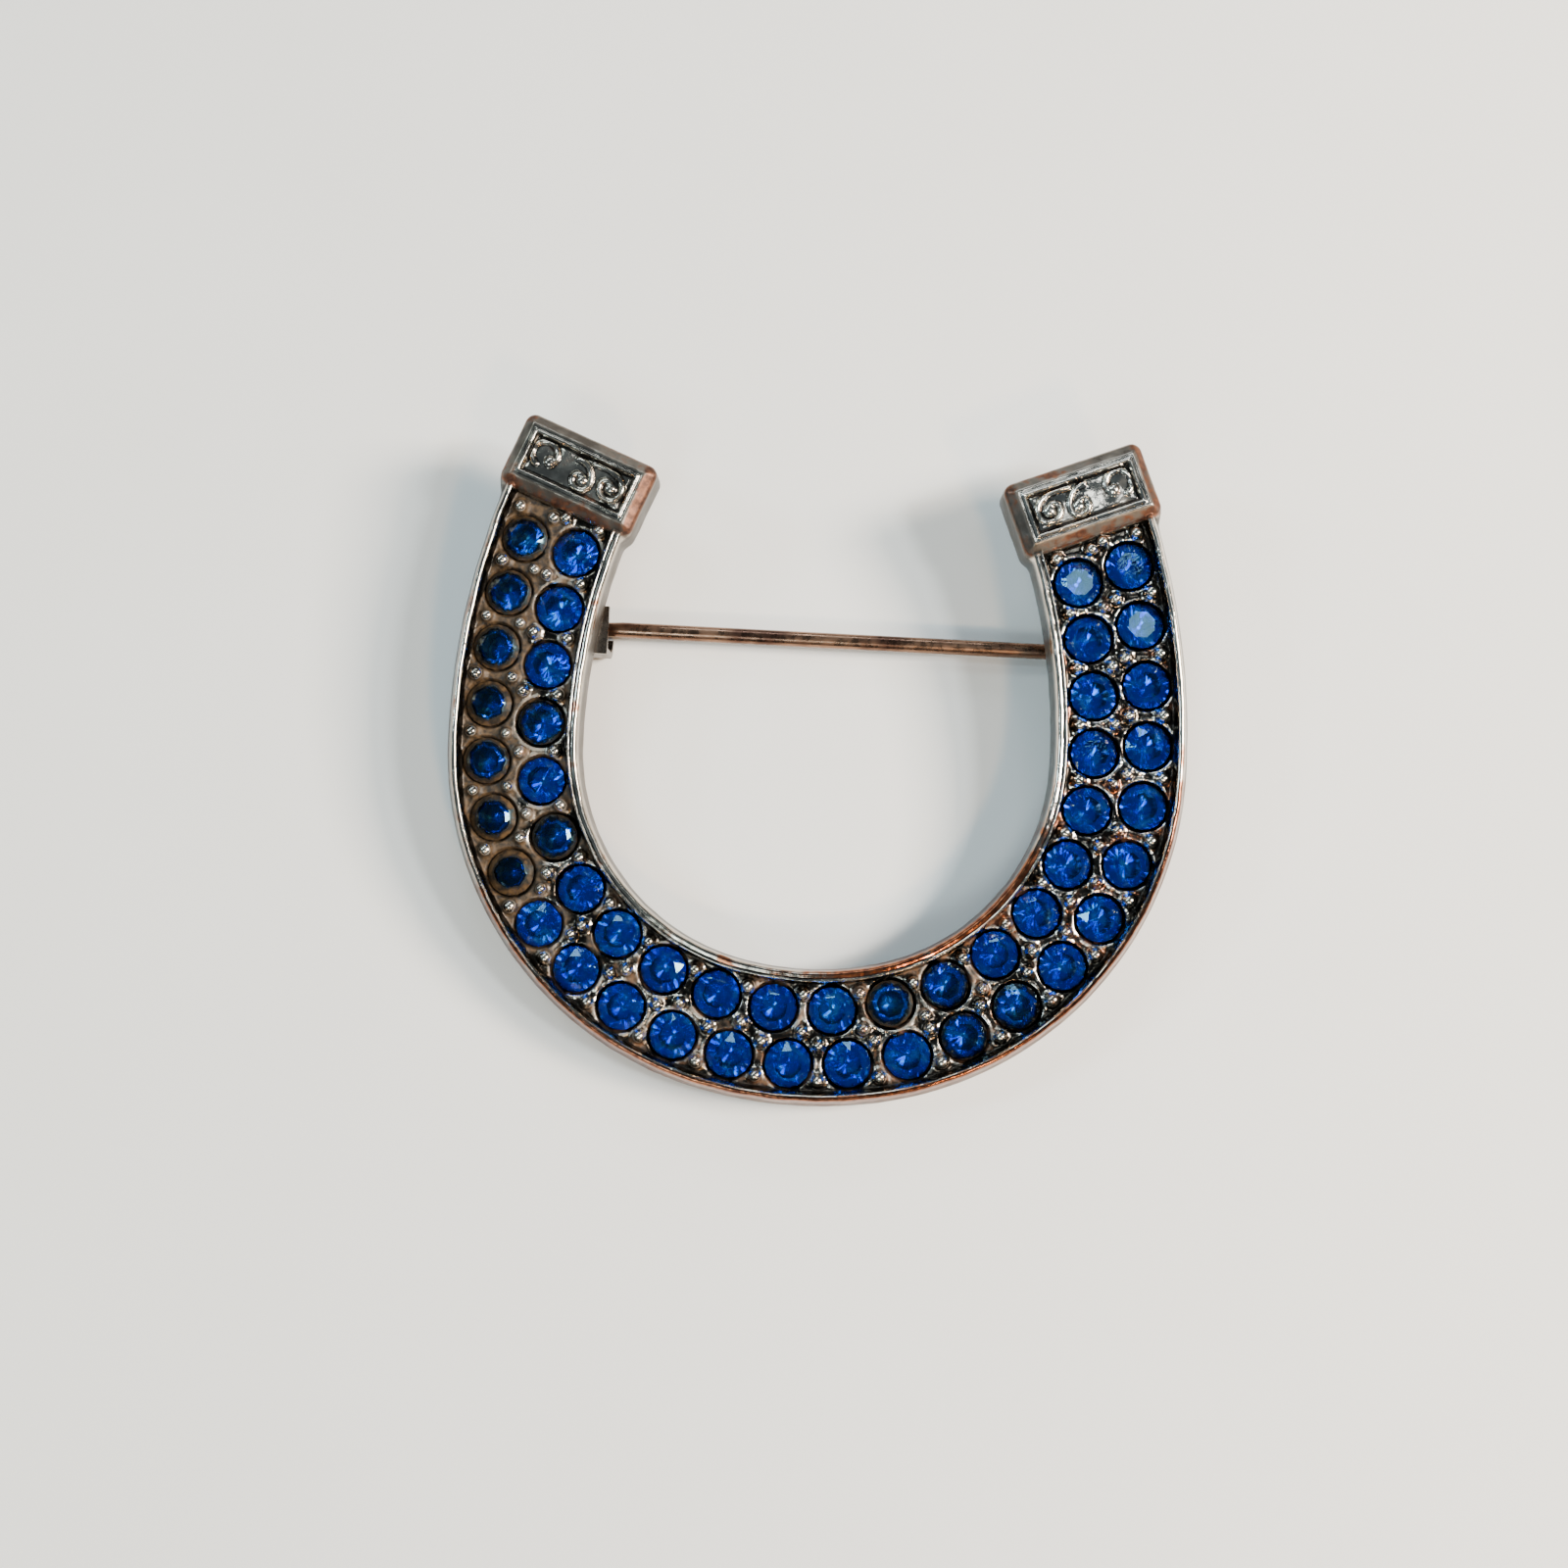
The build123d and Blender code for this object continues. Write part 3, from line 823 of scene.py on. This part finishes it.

# Painted shade in hollows and creases: how much less on the heels, and how dark the low bed and the rims'
# slopes down to it are painted
HEEL_HOLLOW = 0.1
BED_DARK = 0.8
SLOPE_DARK = 0.85
SLOPE_DARK_ABOVE = 1.5


def along_table(s, table):
    """A table's amount at distances along the middle line."""
    return np.interp(s, *zip(*table))


def by_heel(x, column):
    """What the heel on each place's side has in a column."""
    left, right = HEELS
    return np.where(x < 0, left[column], right[column])


def heel_copper(x, local, inside):
    """Where a heel is worn to copper: mostly on its bevels, its corners and its outermost edge."""
    away = np.abs(np.column_stack((
        HEEL_HALF[0] - local[:, 0], HEEL_HALF[0] + local[:, 0],
        HEEL_HALF[1] - local[:, 1], HEEL_HALF[1] + local[:, 1],
    )))
    weight = np.exp(-away / SIDE_BLEND) + TINY
    left, right = [weight @ np.array([row[side] for side in SIDES]) for row in HEELS]
    amount = np.where(x < 0, left, right) / weight.sum(axis=1)
    corner = fade("heel_corner", np.sort(away, axis=1)[:, 1]) * fade("heel_open", local[:, 1])
    bevel = fade("heel_bevel", inside)
    worn = (amount + CORNER_COPPER * corner) * bevel
    panel = by_heel(x, "panel") * (1 - bevel)
    return np.maximum(worn, EDGE_COPPER * fade("heel_edge", inside)) + panel


def shade_setting(piece, points):
    """Where the setting is worn to copper, where dirt has settled, where it is painted with shade or sheen,
    and which walls are dull.
    """
    xy = points[:, :2]
    x = points[:, 0]
    z = points[:, 2]
    s, o = flat_to_band(xy)
    local = heel_coordinates(xy)
    inside = inside_heel(local)
    heel = fade("heel_all", inside)
    bed = across("bed", o) * (1 - heel)
    slope = heel * fade("heel_slope", inside)

    copper = along_table(s, OUTER_COPPER) * fade("out_rim", o) * (1 - heel)
    inner_wall = np.maximum(fade("high_crest", z), along_table(s, INNER_WALL_COPPER))
    copper += along_table(s, INNER_COPPER) * fade("in_rim", -o) * (1 - heel) * inner_wall
    copper += along_table(s, BED_COPPER) * bed
    copper += heel_copper(x, local, inside) * heel * fade("high_block", z)

    out_row = fade("out_row", o)
    grime = along_table(s, OUTER_GRIME) * out_row + along_table(s, INNER_GRIME) * (1 - out_row)

    # Walls and the heels' slopes: a duller finish, darkened with painted shade
    wall = fade("high_wall", z) * (1 - bed)
    inner_slope = step(-local[:, 0], HEEL_HALF[0] - FRAME_MARGIN, HEEL_HALF[0] - INNER_SLOPE)
    wall = np.maximum(wall, (SLOPE_WALL + INNER_SLOPE_WALL * inner_slope) * slope)

    # Painted shade: in the face's hollows, on the low bed, on the rims' slopes down to it, on the panels'
    # ground round the scrolls and in the gaps round the seats
    hollow = hollowness(piece) * (1 - HEEL_HOLLOW * heel)
    low = BED_DARK * bed * fade("high_bed", z)
    slopes = SLOPE_DARK * (1 - heel) * (across("outer_slope", o) + across("inner_slope", o))
    ground = np.zeros(len(xy))
    on_panel = inside > PANEL_START
    field = fade("scroll_field", scroll_height(local[on_panel]))
    ground[on_panel] = field * by_heel(x[on_panel], "ground")
    gap = fade("seat_gap", seat_distance(xy))
    darkest = np.maximum.reduce((hollow, ground, low, slopes * (z > SLOPE_DARK_ABOVE), gap))

    add_shade(piece, "copper", np.clip(copper, 0, 1))
    add_shade(piece, "grime", np.clip(grime * bed * fade("high_grime", z), 0, 1))
    add_shade(piece, "wall", np.clip(wall, 0, 1))
    # Smoother finish and painted sheen, less of both on the heels' slopes
    add_shade(piece, "smooth_and_sheen", along_table(s, SMOOTH_AND_SHEEN) * (1 - SLOPE_DULL * slope))
    add_shade(piece, "hollow", darkest)


# Hollowness, which sets where painted shade falls: rounds of smoothing, what level metal has, and how much
# a millimetre adds
HOLLOW_ROUNDS = 6
HOLLOW_LEVEL = 0.5
HOLLOW_GAIN = 12


def hollowness(piece):
    """How far each vertex lies below the mean of its neighbours, from 0 to 1."""
    mesh = piece.data
    count = len(mesh.vertices)
    co = np.zeros(count * 3)
    mesh.vertices.foreach_get("co", co)
    co = co.reshape(-1, 3) / MM
    pairs = np.zeros(len(mesh.edges) * 2, int)
    mesh.edges.foreach_get("vertices", pairs)
    a, b = pairs.reshape(-1, 2).T
    degree = np.bincount(a, minlength=count) + np.bincount(b, minlength=count)
    smooth = co.copy()
    for _ in range(HOLLOW_ROUNDS):
        total = np.zeros_like(smooth)
        np.add.at(total, a, smooth[b])
        np.add.at(total, b, smooth[a])
        smooth = total / np.maximum(degree, 1)[:, None]
    normals = np.zeros(count * 3)
    mesh.vertices.foreach_get("normal", normals)
    depth = np.sum((smooth - co) * normals.reshape(-1, 3), axis=1)
    return np.clip(HOLLOW_LEVEL + depth * HOLLOW_GAIN, 0, 1)


def ring(radius, sides, height):
    """Corners of a level polygon round a stone's axis."""
    angle = 2 * pi * np.arange(sides) / sides
    return np.column_stack((radius * np.cos(angle), radius * np.sin(angle), np.full(sides, height)))


def cut_stone():
    """Corners and faces of one stone, with a flag for each face of its foiled underside."""
    half = GIRDLE_HEIGHT / 2
    corners = np.concatenate(
        (
            ring(TABLE_RADIUS, TABLE_SIDES, half + CROWN_HEIGHT),
            ring(STONE_RADIUS, GIRDLE_SIDES, half),
            ring(STONE_RADIUS, GIRDLE_SIDES, -half),
            ring(CULET_RADIUS, TABLE_SIDES, -half - PAVILION_DEPTH),
        )
    )
    upper = TABLE_SIDES
    lower = upper + GIRDLE_SIDES
    culet = lower + GIRDLE_SIDES
    faces = [(tuple(range(TABLE_SIDES)), False)]
    faces.append((tuple(reversed(range(culet, culet + TABLE_SIDES))), True))
    for here in range(TABLE_SIDES):
        after = (here + 1) % TABLE_SIDES
        g0, g1, g2 = 2 * here, 2 * here + 1, (2 * here + 2) % GIRDLE_SIDES
        crown = (
            (here, upper + g1, after),
            (here, upper + g0, upper + g1),
            (after, upper + g1, upper + g2),
        )
        underside = (
            (culet + here, culet + after, lower + g1),
            (culet + here, lower + g1, lower + g0),
            (culet + after, lower + g2, lower + g1),
            (upper + g0, lower + g0, lower + g1, upper + g1),
            (upper + g1, lower + g1, lower + g2, upper + g2),
        )
        faces += [(face, False) for face in crown] + [(face, True) for face in underside]
    return corners, faces


# How much dirt lies on single stones, by their number from the left heel
DIRTY_STONES = {
    "outer_stones": {0: 0.5, 1: 0.5, 2: 0.55, 3: 0.7, 4: 0.55, 5: 0.65, 6: 0.85, 15: 0.35, 16: 0.35},
    "inner_stones": {3: 0.35, 5: 0.45, 12: 0.45, 13: 0.35},
}

# Share of a stone's dirt at its table, girdle edges and culet, and the darkening that every girdle has:
# painted shade of the dark seat round it, with a little dirt
GIRDLE_DIRT = np.repeat((0.45, 2.0, 2.0, 0), (TABLE_SIDES, GIRDLE_SIDES, GIRDLE_SIDES, TABLE_SIDES))
GIRDLE_SHADE_AND_DIRT = 0.43 * (GIRDLE_DIRT > 1)


def stone_turn(number, angle):
    """How a stone lies in its seat: each is spun and tilted a little differently."""
    spin = radians(STONE_SPIN * number)
    return (
        Matrix.Rotation(angle, 3, "Z")
        @ Matrix.Rotation(radians(STONE_TILT * sin(spin)), 3, "X")
        @ Matrix.Rotation(radians(STONE_TILT * cos(spin)), 3, "Y")
        @ Matrix.Rotation(spin, 3, "Z")
    )


def build_stones(row, glass, foil):
    """One row of cut stones: glass above, foil behind."""
    corners, cut = cut_stone()
    points, faces, foiled, dirt_and_shade = [], [], [], []
    for number, distance in enumerate(row_places(row)):
        place, angle = spot(distance, row["offset"])
        first = len(corners) * number
        turn = np.array(stone_turn(number, angle))
        points.append(corners @ turn.T + np.array((*place, GIRDLE_UP)))
        faces += [tuple(first + k for k in face) for face, _ in cut]
        foiled += [flag for _, flag in cut]
        soiled = DIRTY_STONES[row["name"]].get(number, 0.0)
        # Dirt on soiled stones, and on every girdle at least a painted shade of its dark seat
        dirt_and_shade.append(np.maximum(soiled * GIRDLE_DIRT, GIRDLE_SHADE_AND_DIRT))
    piece = mesh_object(row["name"] + "_cut", np.concatenate(points), faces)
    add_shade(piece, "dirt_and_shade", np.concatenate(dirt_and_shade))
    piece.data.materials.append(glass)
    piece.data.materials.append(foil)
    piece.data.polygons.foreach_set("material_index", np.array(foiled, np.int32))
    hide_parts(row["name"])
    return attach(piece, "brooch")


# Colours in linear red, green and blue: patchy ones go from below to above as the grain goes from
# low to high
PATCHES = named(
    "low high below above",
    silver=(0.35, 0.65, (0.27, 0.225, 0.18, 1), (0.57, 0.5, 0.41, 1)),
    copper=(0.3, 0.7, (0.1, 0.033, 0.019, 1), (0.33, 0.125, 0.06, 1)),
    mud=(0.3, 0.7, (0.012, 0.008, 0.005, 1), (0.088, 0.05, 0.021, 1)),
    glass=(0.3, 0.7, (0.05, 0.175, 0.88, 1), (0.08, 0.32, 1.0, 1)),
    dust=(0.3, 0.7, (0.02, 0.013, 0.008, 1), (0.1, 0.056, 0.024, 1)),
    # The foil's random tone runs from deep blue to pale cyan; the pale cyan patches are painted glints
    foil=(0.51, 0.59, (0.16, 0.33, 0.85, 1), (0.55, 1.0, 1.0, 1)),
    wire=(0.4, 0.62, (0.27, 0.15, 0.095, 1), (0.1, 0.05, 0.035, 1)),
    strip=(0.4, 0.62, (0.12, 0.105, 0.09, 1), (0.065, 0.05, 0.038, 1)),
)
# Plain colours, among them painted sheen for the silver, painted shade for hollows and walls, and a dark
# film that is dirt on soiled stones and painted shade round every girdle
COLOURS = dict(
    polished=(0.9, 0.84, 0.75, 1),
    hollow=(0.035, 0.028, 0.022, 1),
    dull_wall=(0.05, 0.048, 0.044, 1),
    shadowed_wall=(0.03, 0.022, 0.018, 1),
    dark_film_and_shade=(0.02, 0.014, 0.009, 1),
    stone_gleam=(0.4, 0.8, 1.0, 1),
    dirty_foil=(0.004, 0.008, 0.05, 1),
    paper=(0.85, 0.83, 0.8, 1),
    light_paper=(0.9, 0.885, 0.86, 1),
    sky=(0.64, 0.84, 1.0, 1),
)

# Grain of the finishes: features in each metre, and octaves of noise
GRAINS = named(
    "scale detail",
    cast_coarse=(700, 3.0), cast_fine=(3200, 3.0), cast_speck=(9000, 2.0),
    glass=(2500, 3.0), glass_relief=(7000, 2.0), foil=(1500, 1.0),
    wire_coarse=(300, 3.0), wire_fine=(1800, 3.0),
    strip_coarse=(400, 3.0), strip_fine=(2400, 3.0),
    paper=(60, 3.0), paper_relief=(1500, 4.0),
)
GRAIN_ROUGHNESS = 0.55
GRAIN_MEAN = 0.5

# How one amount follows another: as the first goes from low to high, it goes from start to end
RAMPS = named(
    "low high start end",
    in_hollow=(0.5, 0.85), shows_copper=(0.35, 0.75), dirty=(0.3, 0.75),
    dull=(0.3, 0.8, 0.8, 0.4), shadow=(0.3, 0.8, 0.6, 0.38),
    dirt_metallic=(0.0, 1.0, 1.0, 0.1), wall_metallic=(0.0, 1.0, 1.0, 0.6),
    wall_specular=(0.0, 1.0, 0.5, 0.2), cast_rough=(0.3, 0.7, 0.15, 0.28),
    stone_dirty=(0.5, 0.9), stone_covered=(0.34, 0.56), stone_dusty=(0.75, 1.2),
    stone_clear=(0.0, 1.0, 1.0, 0.15), stone_rough=(0.0, 1.0, 0.03, 0.5),
    stone_specular=(0.0, 1.0, 0.5, 0.08), foil_dirty=(0.9, 1.9),
    plain_rough=(0.3, 0.7, 0.2, 0.38),
)

# Fine relief that stays bump: its strength, and its depth in metres
BUMPS = named(
    "Strength Distance",
    cast=(0.2, 0.00006),
    glass=(0.1, 0.00002),
    plain=(0.3, 0.00004),
    paper=(0.15, 0.00005),
)

# Cast metal: how much painted sheen and smoothness, grain, walls and dirt add to its colour, wear,
# roughness and relief
PAINTED_SHEEN_SHARE = 0.45
SHINE_SMOOTHS = 0.09
WEAR_COARSE = 1.7
WEAR_FINE = 0.5
WEAR_LESS = 1.1
GRIME_PATCHES = 1.6
WALL_ROUGHENS = 0.2
DIRT_ROUGHENS = 0.4
RELIEF_FINE = 0.7
RELIEF_SPECK = 0.3

# Stones, foil and paper
STONE_PATCHES = 0.8
GLASS_IOR = 1.55
FOIL_ROUGH = 0.12
PAPER_ROUGH = 0.8


def put(tree, socket, value):
    """Link an output to an input, or give the input its value."""
    if isinstance(value, bpy.types.NodeSocket):
        tree.links.new(value, socket)
    else:
        socket.default_value = value


def new_material(name):
    """A new material and its node tree."""
    material = bpy.data.materials.new(name)
    material.use_nodes = True
    return material, material.node_tree


def node(tree, kind, inputs, **settings):
    """A new node with its settings and its inputs, each a number, colour or another output."""
    made = tree.nodes.new("ShaderNode" + kind)
    for key, value in settings.items():
        setattr(made, key, value)
    for key, value in inputs.items():
        put(tree, made.inputs[key], value)
    return made


def finish(material, values):
    """A material with the sockets of its shader set."""
    tree = material.node_tree
    for name, value in values.items():
        put(tree, tree.nodes["Principled BSDF"].inputs[name], value)
    return material


def shade(tree, name):
    """A number that the vertices of the piece hold."""
    return node(tree, "Attribute", {}, attribute_name=name).outputs["Fac"]


def grain(tree, name):
    """Noise over the piece itself."""
    row = GRAINS[name]
    place = node(tree, "TexCoord", {}).outputs["Object"]
    inputs = {"Vector": place, "Scale": row["scale"], "Detail": row["detail"], "Roughness": GRAIN_ROUGHNESS}
    return node(tree, "TexNoise", inputs).outputs["Fac"]


def mix(tree, share, first, second):
    """A colour that is the first at share 0 and the second at share 1."""
    return node(tree, "Mix", {0: share, 6: first, 7: second}, data_type="RGBA").outputs[2]


def maths(operation):
    """A function that works out an operation on two amounts in a node tree."""
    return lambda tree, a, b: node(tree, "Math", {0: a, 1: b}, operation=operation).outputs[0]


times, plus, minus = maths("MULTIPLY"), maths("ADD"), maths("SUBTRACT")


def ramp(tree, value, low=0.0, high=1.0, start=0.0, end=1.0):
    """A smooth change from start to end as a value goes from low to high."""
    inputs = {"Value": value, "From Min": low, "From Max": high, "To Min": start, "To Max": end}
    return node(tree, "MapRange", inputs, interpolation_type="SMOOTHSTEP").outputs["Result"]


def follow(tree, value, name):
    """An amount that follows a value, as its row of RAMPS says."""
    return ramp(tree, value, **RAMPS[name])


def patchy(tree, value, name):
    """A colour that follows the grain, as its row of PATCHES says."""
    row = PATCHES[name]
    return mix(tree, ramp(tree, value, row["low"], row["high"]), row["below"], row["above"])


def bump(tree, height, name):
    """The normal of a fine relief."""
    return node(tree, "Bump", {"Height": height, **BUMPS[name]}).outputs["Normal"]


def cast_metal():
    """Worn white metal with copper showing through, dirt in the bed, painted shade in its hollows and on
    its walls, painted sheen and fine scratches.
    """
    material, tree = new_material("worn_cast_metal_painted_shade_and_sheen")
    coarse = grain(tree, "cast_coarse")
    fine = grain(tree, "cast_fine")
    speck = grain(tree, "cast_speck")
    smooth_and_sheen = shade(tree, "smooth_and_sheen")
    wall = shade(tree, "wall")

    silver = patchy(tree, coarse, "silver")
    # Painted sheen lightens the silver
    silver = mix(tree, times(tree, smooth_and_sheen, PAINTED_SHEEN_SHARE), silver, COLOURS["polished"])
    # Painted shade darkens the hollows
    in_hollow = follow(tree, shade(tree, "hollow"), "in_hollow")
    silver = mix(tree, in_hollow, silver, COLOURS["hollow"])

    patch = plus(tree, times(tree, coarse, WEAR_COARSE), times(tree, fine, WEAR_FINE))
    worn = plus(tree, shade(tree, "copper"), minus(tree, patch, WEAR_LESS))
    colour = mix(tree, follow(tree, worn, "shows_copper"), silver, patchy(tree, fine, "copper"))
    # Walls: a duller finish, darkened with painted shade
    colour = mix(tree, times(tree, wall, follow(tree, worn, "dull")), colour, COLOURS["dull_wall"])
    shadow = times(tree, wall, follow(tree, worn, "shadow"))
    colour = mix(tree, shadow, colour, COLOURS["shadowed_wall"])

    patch = times(tree, minus(tree, coarse, GRAIN_MEAN), GRIME_PATCHES)
    dirty = follow(tree, plus(tree, shade(tree, "grime"), patch), "dirty")
    colour = mix(tree, dirty, colour, patchy(tree, fine, "mud"))

    rough = plus(tree, follow(tree, coarse, "cast_rough"), times(tree, wall, WALL_ROUGHENS))
    rough = minus(tree, rough, times(tree, smooth_and_sheen, SHINE_SMOOTHS))
    rough = plus(tree, rough, times(tree, dirty, DIRT_ROUGHENS))
    relief = plus(tree, times(tree, fine, RELIEF_FINE), times(tree, speck, RELIEF_SPECK))
    metallic = times(tree, follow(tree, dirty, "dirt_metallic"), follow(tree, wall, "wall_metallic"))
    return finish(material, {
        "Base Color": colour,
        "Metallic": metallic,
        "Specular IOR Level": follow(tree, wall, "wall_specular"),
        "Roughness": rough,
        "Normal": bump(tree, relief, "cast"),
    })


def stone_glass():
    """Blue glass, rough and cloudy where dirt lies on it, and darkened round every girdle with painted
    shade.
    """
    material, tree = new_material("stone_glass")
    fine = grain(tree, "glass")
    patch = times(tree, minus(tree, fine, GRAIN_MEAN), STONE_PATCHES)
    # Dirt, and painted shade round the girdles, cover the glass with a dark film
    dirt_and_shade = plus(tree, shade(tree, "dirt_and_shade"), patch)
    dirty = follow(tree, dirt_and_shade, "stone_dirty")
    dusty = follow(tree, dirt_and_shade, "stone_dusty")
    film_and_shade = mix(tree, dusty, COLOURS["dark_film_and_shade"], patchy(tree, fine, "dust"))
    return finish(material, {
        "Base Color": mix(tree, follow(tree, dirt_and_shade, "stone_covered"), patchy(tree, fine, "glass"), film_and_shade),
        "Transmission Weight": follow(tree, dirty, "stone_clear"),
        "Roughness": follow(tree, dirty, "stone_rough"),
        "Specular IOR Level": follow(tree, dirty, "stone_specular"),
        "IOR": GLASS_IOR,
        "Specular Tint": COLOURS["stone_gleam"],
        "Normal": bump(tree, grain(tree, "glass_relief"), "glass"),
    })


def stone_foil():
    """The mirror foil behind a stone, seen through the glass, whose pale cyan patches are painted glints.
    """
    material, tree = new_material("stone_foil")
    colour = patchy(tree, grain(tree, "foil"), "foil")
    dirty = follow(tree, shade(tree, "dirt_and_shade"), "foil_dirty")
    return finish(material, {
        "Base Color": mix(tree, dirty, colour, COLOURS["dirty_foil"]),
        "Metallic": 1.0,
        "Roughness": FOIL_ROUGH,
    })


def plain_metal(name, kind):
    """A worn wire or strip with darker patches."""
    material, tree = new_material(name)
    fine = grain(tree, kind + "_fine")
    return finish(material, {
        "Base Color": patchy(tree, grain(tree, kind + "_coarse"), kind),
        "Metallic": 1.0,
        "Roughness": follow(tree, fine, "plain_rough"),
        "Normal": bump(tree, fine, "plain"),
    })


def pale_paper():
    """The paper that the brooch lies on."""
    material, tree = new_material("pale_floor")
    return finish(material, {
        "Base Color": mix(tree, grain(tree, "paper"), COLOURS["paper"], COLOURS["light_paper"]),
        "Roughness": PAPER_ROUGH,
        "Normal": bump(tree, grain(tree, "paper_relief"), "paper"),
    })


# The stage, in metres. Soft lights round the brooch: where, how large, how bright their face is,
# and their colour
FLOOR_HALF = 0.6
SKY_STRENGTH = 0.17
LIGHTS = rows(
    "name place size glow colour",
    ("overhead", (0.13, 0.07, 0.5), (0.07, 0.07), 8, (0.85, 0.95, 1.0)),
    ("right", (0.31, 0.03, 0.23), (0.1, 0.1), 108, (1.0, 0.88, 0.74)),
    ("high", (0.27, -0.03, 0.31), (0.05, 0.05), 125, (0.95, 1.0, 1.0)),
    ("left", (-0.42, 0.05, 0.3), (0.07, 0.07), 38, (0.6, 0.84, 1.0)),
    ("warm", (0.16, -0.3, 0.32), (0.05, 0.04), 130, (1.0, 0.64, 0.32)),
    ("front", (-0.1, -0.29, 0.36), (0.13, 0.13), 14, (0.78, 0.97, 1.0)),
    ("back", (-0.05, 0.5, 0.32), (0.2, 0.1), 11, (0.78, 0.91, 1.0)),
    ("corner", (-0.2, 0.22, 0.36), (0.13, 0.13), 9, (0.76, 0.96, 1.0)),
)


def build_floor():
    """A flat sheet of paper under the brooch."""
    half = FLOOR_HALF
    corners = [(-half, -half, 0), (half, -half, 0), (half, half, 0), (-half, half, 0)]
    mesh = bpy.data.meshes.new("floor")
    mesh.from_pydata(corners, [], [(0, 1, 2, 3)])
    mesh.materials.append(pale_paper())
    floor = link("floor", mesh)


def build_lights():
    """A dim sky, and soft rectangular lights that face the brooch."""
    world = bpy.data.worlds.new("soft_room")
    world.use_nodes = True
    background = world.node_tree.nodes["Background"]
    background.inputs["Color"].default_value = COLOURS["sky"]
    background.inputs["Strength"].default_value = SKY_STRENGTH
    bpy.context.scene.world = world
    for row in LIGHTS:
        lamp = bpy.data.lights.new(row["name"], "AREA")
        lamp.shape = "RECTANGLE"
        lamp.size, lamp.size_y = row["size"]
        lamp.energy = pi * row["glow"] * lamp.size * lamp.size_y
        lamp.color = row["colour"]
        light = link(row["name"], lamp)
        light.location = row["place"]
        light.rotation_euler = (-Vector(row["place"])).to_track_quat("-Z", "Y").to_euler()


# Camera: turns about the flat drawing's X, Y and Z, where the brooch lies in front of it, and how
# high over the back it aims. The nearest that it sees is in metres
CAMERA_TURN = (-3.754, -0.963, -3.047)
CAMERA_SHIFT = (1.976, 6.245, -85.44)
CAMERA_AIM_HEIGHT = 2.2
LENS = 36.0
SENSOR = 36.0
NEAR_CLIP = 0.001


def build_camera():
    """The camera, placed in the flat drawing and laid down with it."""
    turn = (
        Matrix.Rotation(radians(CAMERA_TURN[2]), 4, "Z")
        @ Matrix.Rotation(radians(CAMERA_TURN[1]), 4, "Y")
        @ Matrix.Rotation(radians(CAMERA_TURN[0]), 4, "X")
    )
    back = turn.inverted()
    place = back @ -Vector(CAMERA_SHIFT) + Vector((0, 0, CAMERA_AIM_HEIGHT))
    data = bpy.data.cameras.new("camera")
    data.lens = LENS
    data.sensor_width = SENSOR
    data.clip_start = NEAR_CLIP
    camera = link("camera", data)
    tilt = LAY.to_quaternion().to_matrix().to_4x4()
    camera.matrix_world = Matrix.Translation(LAY @ place) @ tilt @ back
    bpy.context.scene.camera = camera


build_camera()
build_lights()
build_floor()

setting = build_setting()
setting.data.materials.append(cast_metal())
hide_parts("horseshoe_setting")
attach(setting, "brooch")
glass = stone_glass()
foil = stone_foil()
for stone_row in ROWS:
    build_stones(stone_row, glass, foil)

wire = plain_metal("pin_wire_worn", "wire")
strip = plain_metal("findings_worn", "strip")
for name, worn in (("pin_stem", wire), ("hinge_bracket", strip), ("hinge_rivet", strip), ("catch", strip)):
    for slot in frame["nodes"][name].material_slots:
        slot.material = worn
